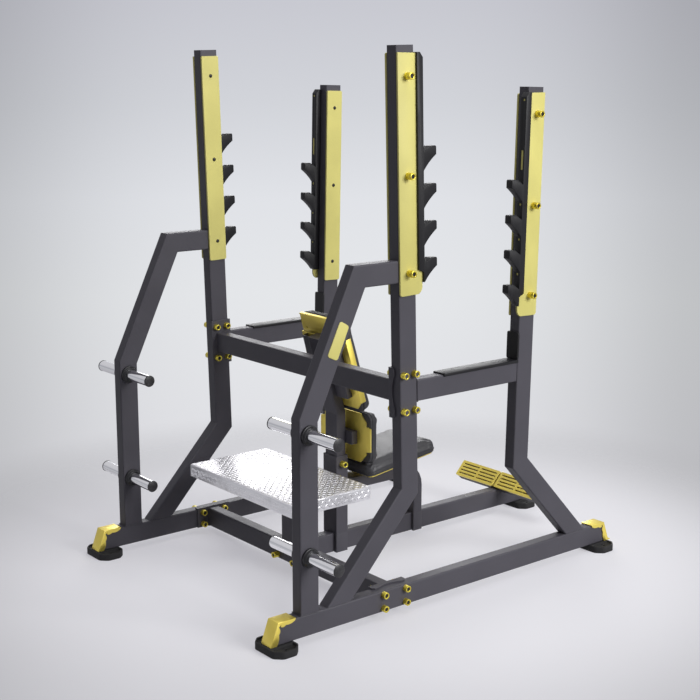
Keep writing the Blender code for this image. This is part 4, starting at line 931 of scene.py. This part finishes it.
def build_back_plate():
    """A tapered tray whose sides are bent forward beside the pad, on a channel that the post carries."""
    outer = SIDE_CLEAR + BACK_SHEET
    page = BACK_FRAME @ FACING
    right = [(pad_half(PLATE_LOW, outer) - PLATE_CORNER, PLATE_LOW),
             (pad_half(PLATE_LOW + PLATE_CORNER, outer), PLATE_LOW + PLATE_CORNER),
             (pad_half(PLATE_TOP, outer), PLATE_TOP)]
    tray = slab(mirrored(right), -SIDE_FLANGE, GAP + BACK_SHEET)
    under, over = PLATE_LOW - OVER, PLATE_TOP + OVER
    inside = [(pad_half(under, SIDE_CLEAR), under), (pad_half(over, SIDE_CLEAR), over)]
    tray = cut(tray, [slab(mirrored(inside), -SIDE_FLANGE - OVER, GAP)])
    made(tray, FOLD_EDGE, 3, page, "folded_back_plate", "gilt", "yellow", ["back_plate"])
    front = -2 * GAP - BACK_SHEET
    inner = front - CARRIER_DEEP + CARRIER_SHEET
    right = [(CARRIER_HALF, front - CARRIER_DEEP), (CARRIER_HALF, front),
             (CARRIER_HALF - CARRIER_SHEET, front), (CARRIER_HALF - CARRIER_SHEET, inner)]
    channel = slab(mirrored(right), CARRIER_LOW, PLATE_TOP - GUARD_SPACE)
    made(channel, SHEET_EDGE, 2, BACK_FRAME, "back_channel", "frame", "frame")


def build_back_guard():
    """A sheet behind the top of the pad, with its top edge bent back and a small drain hole."""
    top, rear = BACK_LONG + GUARD_OVER, GAP + BACK_SHEET
    low, hole = PLATE_TOP + GUARD_SPACE, DRAIN_HOLE
    right = [(GUARD_HALF - GUARD_CORNER, low), (GUARD_HALF, low + GUARD_CORNER),
             (GUARD_HALF, top - GUARD_CORNER), (GUARD_HALF - GUARD_CORNER, top)]
    sheet = slab(mirrored(right), GAP, rear + GUARD_LIP)
    behind = box_shape((-0.2, low - OVER, rear), (0.2, top - BACK_SHEET, rear + GUARD_LIP + OVER))
    drain = turned([(hole, -0.01), (hole, 0.02), (0, 0.02), (0, -0.01), (hole, -0.01)], 16)
    moved(drain, put(-GUARD_HALF + DRAIN_IN, low + DRAIN_UP, 0))
    made(cut(sheet, [behind, drain]), FOLD_EDGE, 3, BACK_FRAME @ FACING,
         "folded_back_guard", "gilt", "yellow", ["back_guard"])


def build_cheeks():
    """The socket and the seat's leg hang down on both sides of the spine."""
    socket_low, socket_high = corners_of("post_socket")
    for side in SIDES.values():
        for name, near, far, reach in (("socket", socket_low.y, socket_high.y, abs(socket_low.x)),
                                       ("leg", *LEG)):
            low_x, high_x = span(side, TUBE_WIDE / 2 + GAP, reach)
            cheek = box_shape((low_x, near, BASE_LOW), (high_x, far, BASE_TOP + CHEEK_OVER))
            bevelled(cheek, cheek.edges[:], CHEEK_EDGE, 2)
            finished(cheek, f"{name}_cheek_{'right' if side > 0 else 'left'}", "frame", "frame")


def build_badge():
    """A bare yellow plate with round corners on the slanted storage tube."""
    plate = slab(BADGE, HALF_OUT, HALF_OUT + BADGE_SHEET)
    bevelled(plate, upright_edges(plate, 0.002), BADGE_CORNER, 5)
    rim = [edge for edge in plate.edges if min(vert.co.z for vert in edge.verts) > HALF_OUT + 0.002]
    bevelled(plate, rim, BADGE_EDGE, 2)
    finished(moved(plate, ALONG), "bare_badge", "yellow", "yellow")


def build_strips():
    """Wear strips on the side beams: one folded sheet each, up against the front column."""
    top, wall = SIDE_BEAM_TOP + GAP, STRIP_SHEET
    half = TUBE_WIDE / 2 + GAP
    for word, side in SIDES.items():
        middle, rear, front = side * TUBE_X, STRIP_REAR, FRONT.face_at(top) - STRIP_SPACE
        strip = box_shape((middle - half - wall, rear, SIDE_BEAM_TOP - STRIP_DROP),
                          (middle + half + wall, front, top + wall))
        inside = box_shape((middle - half, rear - OVER, SIDE_BEAM_TOP - 0.02),
                           (middle + half, front + OVER, top))
        made(cut(strip, [inside]), SHEET_EDGE, 2, FLAT,
             "folded_strip_" + word, "liner", "liner", ["limiter_strip_" + word])


def build_welds():
    """Stacked-drop beads round the ends of the side beams, the storage posts, the lower beam and the leg."""
    low, high = SIDE_BEAM_TOP - TUBE_DEEP, SIDE_BEAM_TOP
    lower, upper = corners_of("lower_cross_beam")
    near, far = (lower.y + upper.y) / 2 - TUBE_WIDE / 2, (lower.y + upper.y) / 2 + TUBE_WIDE / 2
    runs = []
    for side in SIDES.values():
        left, right = sorted((side * HALF_IN, side * HALF_OUT))
        for column, out in ((REAR, 1), (FRONT, -1)):
            foot = column.face_at(low) + out * WELD / 2
            head = foot + (column.face_at(high) - column.face_at(low))
            runs.append([(left, foot, low), (right, foot, low), (right, head, high), (left, head, high)])
        runs.append(flat_ring(BASE_TOP + WELD / 3, (left, POST_REAR), (right, POST_REAR + TUBE_DEEP)))
        x = side * (SADDLE_X - WELD / 2)
        runs.append([(x, near, BASE_LOW), (x, far, BASE_LOW), (x, far, BASE_TOP), (x, near, BASE_TOP)])
    half = TUBE_WIDE / 2
    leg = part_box("platform_leg")[0][2] + WELD / 3
    runs.append(flat_ring(leg, (-half, LOWER_BEAM_Y - half), (half, LOWER_BEAM_Y + half)))
    roped("weld_beads", runs, WELD, "weld", "frame", WELD_RIPPLE)


def flat_ring(z, low, high):
    """A level rectangle from its low (x, y) to its high."""
    (left, near), (right, far) = low, high
    return [(left, near, z), (right, near, z), (right, far, z), (left, far, z)]


build_welds()
build_back_plate()
build_back_guard()
build_cheeks()
build_badge()
build_strips()


# ---- platform ----

LUG = (0.021, 0.0065, 0.0016)        # length, width and height of a raised lug
LUG_PITCH = 0.0155
LUG_MARGIN = 0.016
DECK_SHEET = 0.0035
DECK_FOLD = 0.007          # radius of the folds
SKIRT_DROP = 0.003         # of the lugs on the skirts, below the skirts' middle


def lens_lug(length, width, height):
    """One raised lug of checker plate: the top of a stretched ball."""
    shape = bmesh.new()
    bmesh.ops.create_uvsphere(shape, u_segments=8, v_segments=4, radius=1)
    low = [vert for vert in shape.verts if vert.co.z < -0.1]
    bmesh.ops.delete(shape, geom=low, context="VERTS")
    bmesh.ops.scale(shape, verts=shape.verts, vec=(length / 2, width / 2, height))
    return shape


def lug_field(target, width, depth, place):
    """Lugs over a rectangle, each turned square to its neighbours."""
    columns, rows = int(width / LUG_PITCH), int(depth / LUG_PITCH)
    lug = lens_lug(*LUG)
    mesh = bpy.data.meshes.new("lug")
    lug.to_mesh(mesh)
    lug.free()
    for column in range(columns):
        for row in range(rows):
            x = (column + 0.5) * width / columns - width / 2
            y = (row + 0.5) * depth / rows - depth / 2
            turn = pi / 4 if (column + row) % 2 else -pi / 4
            before = len(target.verts)
            target.from_mesh(mesh)
            target.verts.ensure_lookup_table()
            bmesh.ops.transform(target, verts=target.verts[before:],
                                matrix=place @ put(x, y, 0) @ spun(turn, "Z"))
    bpy.data.meshes.remove(mesh)


def build_deck():
    """The tray: one folded sheet, open below, with lugs on its top and its skirts."""
    low, high = corners_of("platform_deck")
    lug_high = LUG[2]
    high.z -= lug_high
    low.x, high.x, low.y, high.y = low.x + lug_high, high.x - lug_high, low.y + lug_high, high.y - lug_high
    tray = box_shape(low, high)
    bottom = min(tray.faces, key=lambda face: face.calc_center_median().z)
    bmesh.ops.delete(tray, geom=[bottom], context="FACES_ONLY")
    folds = [edge for edge in tray.edges if len(edge.link_faces) == 2]
    bevelled(tray, folds, DECK_FOLD, 3)
    bmesh.ops.recalc_face_normals(tray, faces=tray.faces)
    bmesh.ops.solidify(tray, geom=tray.faces, thickness=DECK_SHEET)
    bmesh.ops.recalc_face_normals(tray, faces=tray.faces)
    finished(tray, "folded_deck", "deck", "deck", ["platform_deck"])
    lugs = bmesh.new()
    size, middle = high - low, (low + high) / 2
    wide, deep, tall = size.x - LUG_MARGIN, size.y - LUG_MARGIN, size.z - LUG_MARGIN
    lug_field(lugs, wide, deep, put(middle.x, middle.y, high.z))
    skirt_z = middle.z - SKIRT_DROP
    for sign in WALL_SIDES:
        face_y = high.y if sign > 0 else low.y
        face_x = high.x if sign > 0 else low.x
        lug_field(lugs, wide, tall, put(middle.x, face_y, skirt_z) @ spun(-sign * pi / 2, "X"))
        lug_field(lugs, tall, deep, put(face_x, middle.y, skirt_z) @ spun(sign * pi / 2, "Y"))
    finished(lugs, "deck_lugs", "deck", "deck", smooth=80)


build_deck()


# ---- storage horns ----

HORN_RADIUS = 0.022
HORN_CHAMFER = 0.0015
CAP = 0.004                # thickness of an end cap
CAP_LIP = 0.001            # how far it stands proud of the bar
COLLAR_OFF = 0.0004        # of a collar's seat from the tube
COLLAR = [(HORN_RADIUS, 0), (0.035, 0), (0.035, 0.0078), (0.0342, 0.0086), (0.0318, 0.0090), (0.0312, 0.0130),
          (0.0290, 0.0156), (HORN_RADIUS + 0.001, 0.0160), (HORN_RADIUS, 0.0155), (HORN_RADIUS, 0)]


def build_horns():
    """Chromed bars with stepped collars on both faces of the post and a flat cap on each end."""
    radius, slim = HORN_RADIUS, HORN_RADIUS - HORN_CHAMFER
    for level in ("upper", "lower"):
        for word, side in SIDES.items():
            node = f"storage_horn_{level}_{word}"
            low, high = corners_of(node)
            inner, outer = min(abs(low.x), abs(high.x)), max(abs(low.x), abs(high.x))
            centre = (low + high) / 2
            place = put(0, centre.y, centre.z) @ spun(side * pi / 2, "Y")
            bar = turned([(0, outer - CAP), (slim, outer - CAP), (radius, outer - CAP - HORN_CHAMFER),
                          (radius, inner + CAP + HORN_CHAMFER), (slim, inner + CAP), (0, inner + CAP)], 56)
            finished(moved(bar, place), f"bar_{level}_{word}", "chrome", "chrome", [node])
            caps, collars = bmesh.new(), bmesh.new()
            for end, into in ((outer, -1), (inner, 1)):
                lip = [(0, end), (radius - CAP_LIP, end), (radius + CAP_LIP, end + into * 0.0012),
                       (radius + CAP_LIP, end + into * CAP), (0, end + into * CAP)]
                merged(caps, turned(lip, 48))
            for face, out in ((HALF_OUT + COLLAR_OFF, 1), (HALF_IN - COLLAR_OFF, -1)):
                merged(collars, turned([(reach, face + out * height) for reach, height in COLLAR], 56))
            finished(moved(caps, place), f"caps_{level}_{word}", "cap", "liner", [node])
            finished(moved(collars, place), f"collars_{level}_{word}", "collar", "liner", [node])


build_horns()


# ---- floor, light and camera ----

FLOOR_GLOW = (0.40, 0.395, 0.425)
FLOOR_FADE = (1.0, 2.6)    # between these distances the glow that camera and glossy rays see fades out
FLOOR_END = (1.1, 2.4)     # and between these it gives way to the backdrop


def build_floor():
    shape = bmesh.new()
    bmesh.ops.create_circle(shape, cap_ends=True, segments=64, radius=14)
    mesh = bpy.data.meshes.new("floor")
    shape.to_mesh(mesh)
    shape.free()
    floor = added("floor", mesh)
    paint = Finish("studio_floor", (0.50, 0.50, 0.51), 0.9)
    reach = paint.node("VectorMath", {"operation": "LENGTH"}, {0: paint.place}, output="Value")
    seen = paint.node("LightPath", output="Is Camera Ray") + paint.node("LightPath", output="Is Glossy Ray")
    glow = paint.mix(reach.step(*FLOOR_FADE), FLOOR_GLOW, (0.0, 0.0, 0.0))
    paint.set(**{"Specular IOR Level": 0.1, "Emission Strength": 1.0,
                 "Emission Color": paint.mix(seen, (0.0, 0.0, 0.0), glow)})
    tree = paint.tree
    clear = tree.nodes.new("ShaderNodeBsdfTransparent")
    blend = tree.nodes.new("ShaderNodeMixShader")
    tree.links.new(reach.step(*FLOOR_END).socket, blend.inputs[0])
    tree.links.new(paint.shader.outputs[0], blend.inputs[1])
    tree.links.new(clear.outputs[0], blend.inputs[2])
    tree.links.new(blend.outputs[0], tree.nodes["Material Output"].inputs["Surface"])
    mesh.materials.append(paint.material)


class Sky(Finish):
    """The world: one plain level of light, and a pale gradient that the eye and glossy surfaces see."""

    def __init__(self, ambient):
        world = bpy.data.worlds.new("studio")
        world.use_nodes = True
        bpy.context.scene.world = world
        self.tree = world.node_tree
        self.tree.nodes.clear()
        self.place = self.node("TexCoord", output="Generated")
        parts = self.node("SeparateXYZ", sockets={0: self.place}, output="Z")
        seen = self.node("LightPath", output="Is Camera Ray")
        glossy = self.node("LightPath", output="Is Glossy Ray")
        passed = self.node("LightPath", output="Is Transmission Ray")
        height = parts + 0.5
        stops = [(z + 0.5, self.grey(level)) for z, level in SKY_LEVELS]
        backdrop = self.node("ValToRGB", {"stops": stops}, {"Fac": height})
        shown = self.node("Math", {"operation": "ADD", "use_clamp": True}, {0: seen + glossy, 1: passed})
        across = self.node("VectorMath", {"operation": "DOT_PRODUCT"},
                           {0: self.place, 1: ACROSS}, output="Value")
        across = DIM_START + across
        dim = 1 - DIM_MOST * (across * across).step(0.0, DIM_REACH)
        backdrop = self.node("VectorMath", {"operation": "SCALE"}, {0: backdrop, "Scale": dim})
        light = self.mix(shown, (*ambient, 1), backdrop)
        background = self.tree.nodes.new("ShaderNodeBackground")
        self.tree.links.new(light.socket, background.inputs["Color"])
        output = self.tree.nodes.new("ShaderNodeOutputWorld")
        self.tree.links.new(background.outputs[0], output.inputs["Surface"])

    def grey(self, level):
        red, green, blue = ((channel / 255) ** 2.2 for channel in level)
        return (red, green, blue, 1)


SKY_LEVELS = [(-0.50, (216, 215, 222)), (-0.30, (222, 222, 227)), (-0.16, (228, 230, 233)),
              (-0.09, (224, 226, 231)), (-0.02, (209, 211, 217)), (0.05, (199, 200, 208)),
              (0.12, (200, 200, 208)), (0.26, (238, 238, 242)), (0.5, (246, 246, 250))]
ACROSS = (0.628, 0.778, 0.0)     # the backdrop darkens this way and the other way from its middle
DIM_START, DIM_REACH, DIM_MOST = 0.015, 0.075, 0.32


def area_light(name, place, aim, size, strength):
    data = bpy.data.lights.new(name, "AREA")
    data.shape = "RECTANGLE"
    data.size, data.size_y = size
    data.energy = strength
    lamp = added(name, data)
    lamp.location = place
    lamp.rotation_euler = (Vector(aim) - Vector(place)).to_track_quat("-Z", "Y").to_euler()


def build_camera():
    data = bpy.data.cameras.new("camera")
    data.lens = 68.73
    data.sensor_width = 36
    camera = added("camera", data)
    camera.location = (4.1109, -3.4108, 1.9386)
    camera.rotation_euler = (radians(78.398), 0, radians(51.083))
    bpy.context.scene.camera = camera


build_floor()
Sky((0.15, 0.15, 0.16))
area_light("key", (8.3, 2.24, 4.04), (0, 0, 1.0), (4.2, 3.5), 568)
area_light("fill", (-6.0, 4.4, 3.2), (0, 0, 0.9), (3.6, 3.0), 150)
area_light("top", (0.4, 0.4, 5.0), (0, 0, 0.6), (3.6, 3.6), 70)
build_camera()
bpy.context.scene.view_settings.view_transform = "Standard"

# these plates get the gilt finish, whose brighter colour is painted light for plates in shade
PAINTED_LIGHT_GILT_NODES = ("seat_plate", "lumbar_plate", "footrest_tread_right", "footrest_tread_left")
for name, node in NODES.items():
    for slot in node.material_slots:
        kind = slot.material.name.split(".")[0] if slot.material else "frame"
        slot.material = FINISHES.get("gilt" if name in PAINTED_LIGHT_GILT_NODES else kind, FINISHES["frame"])
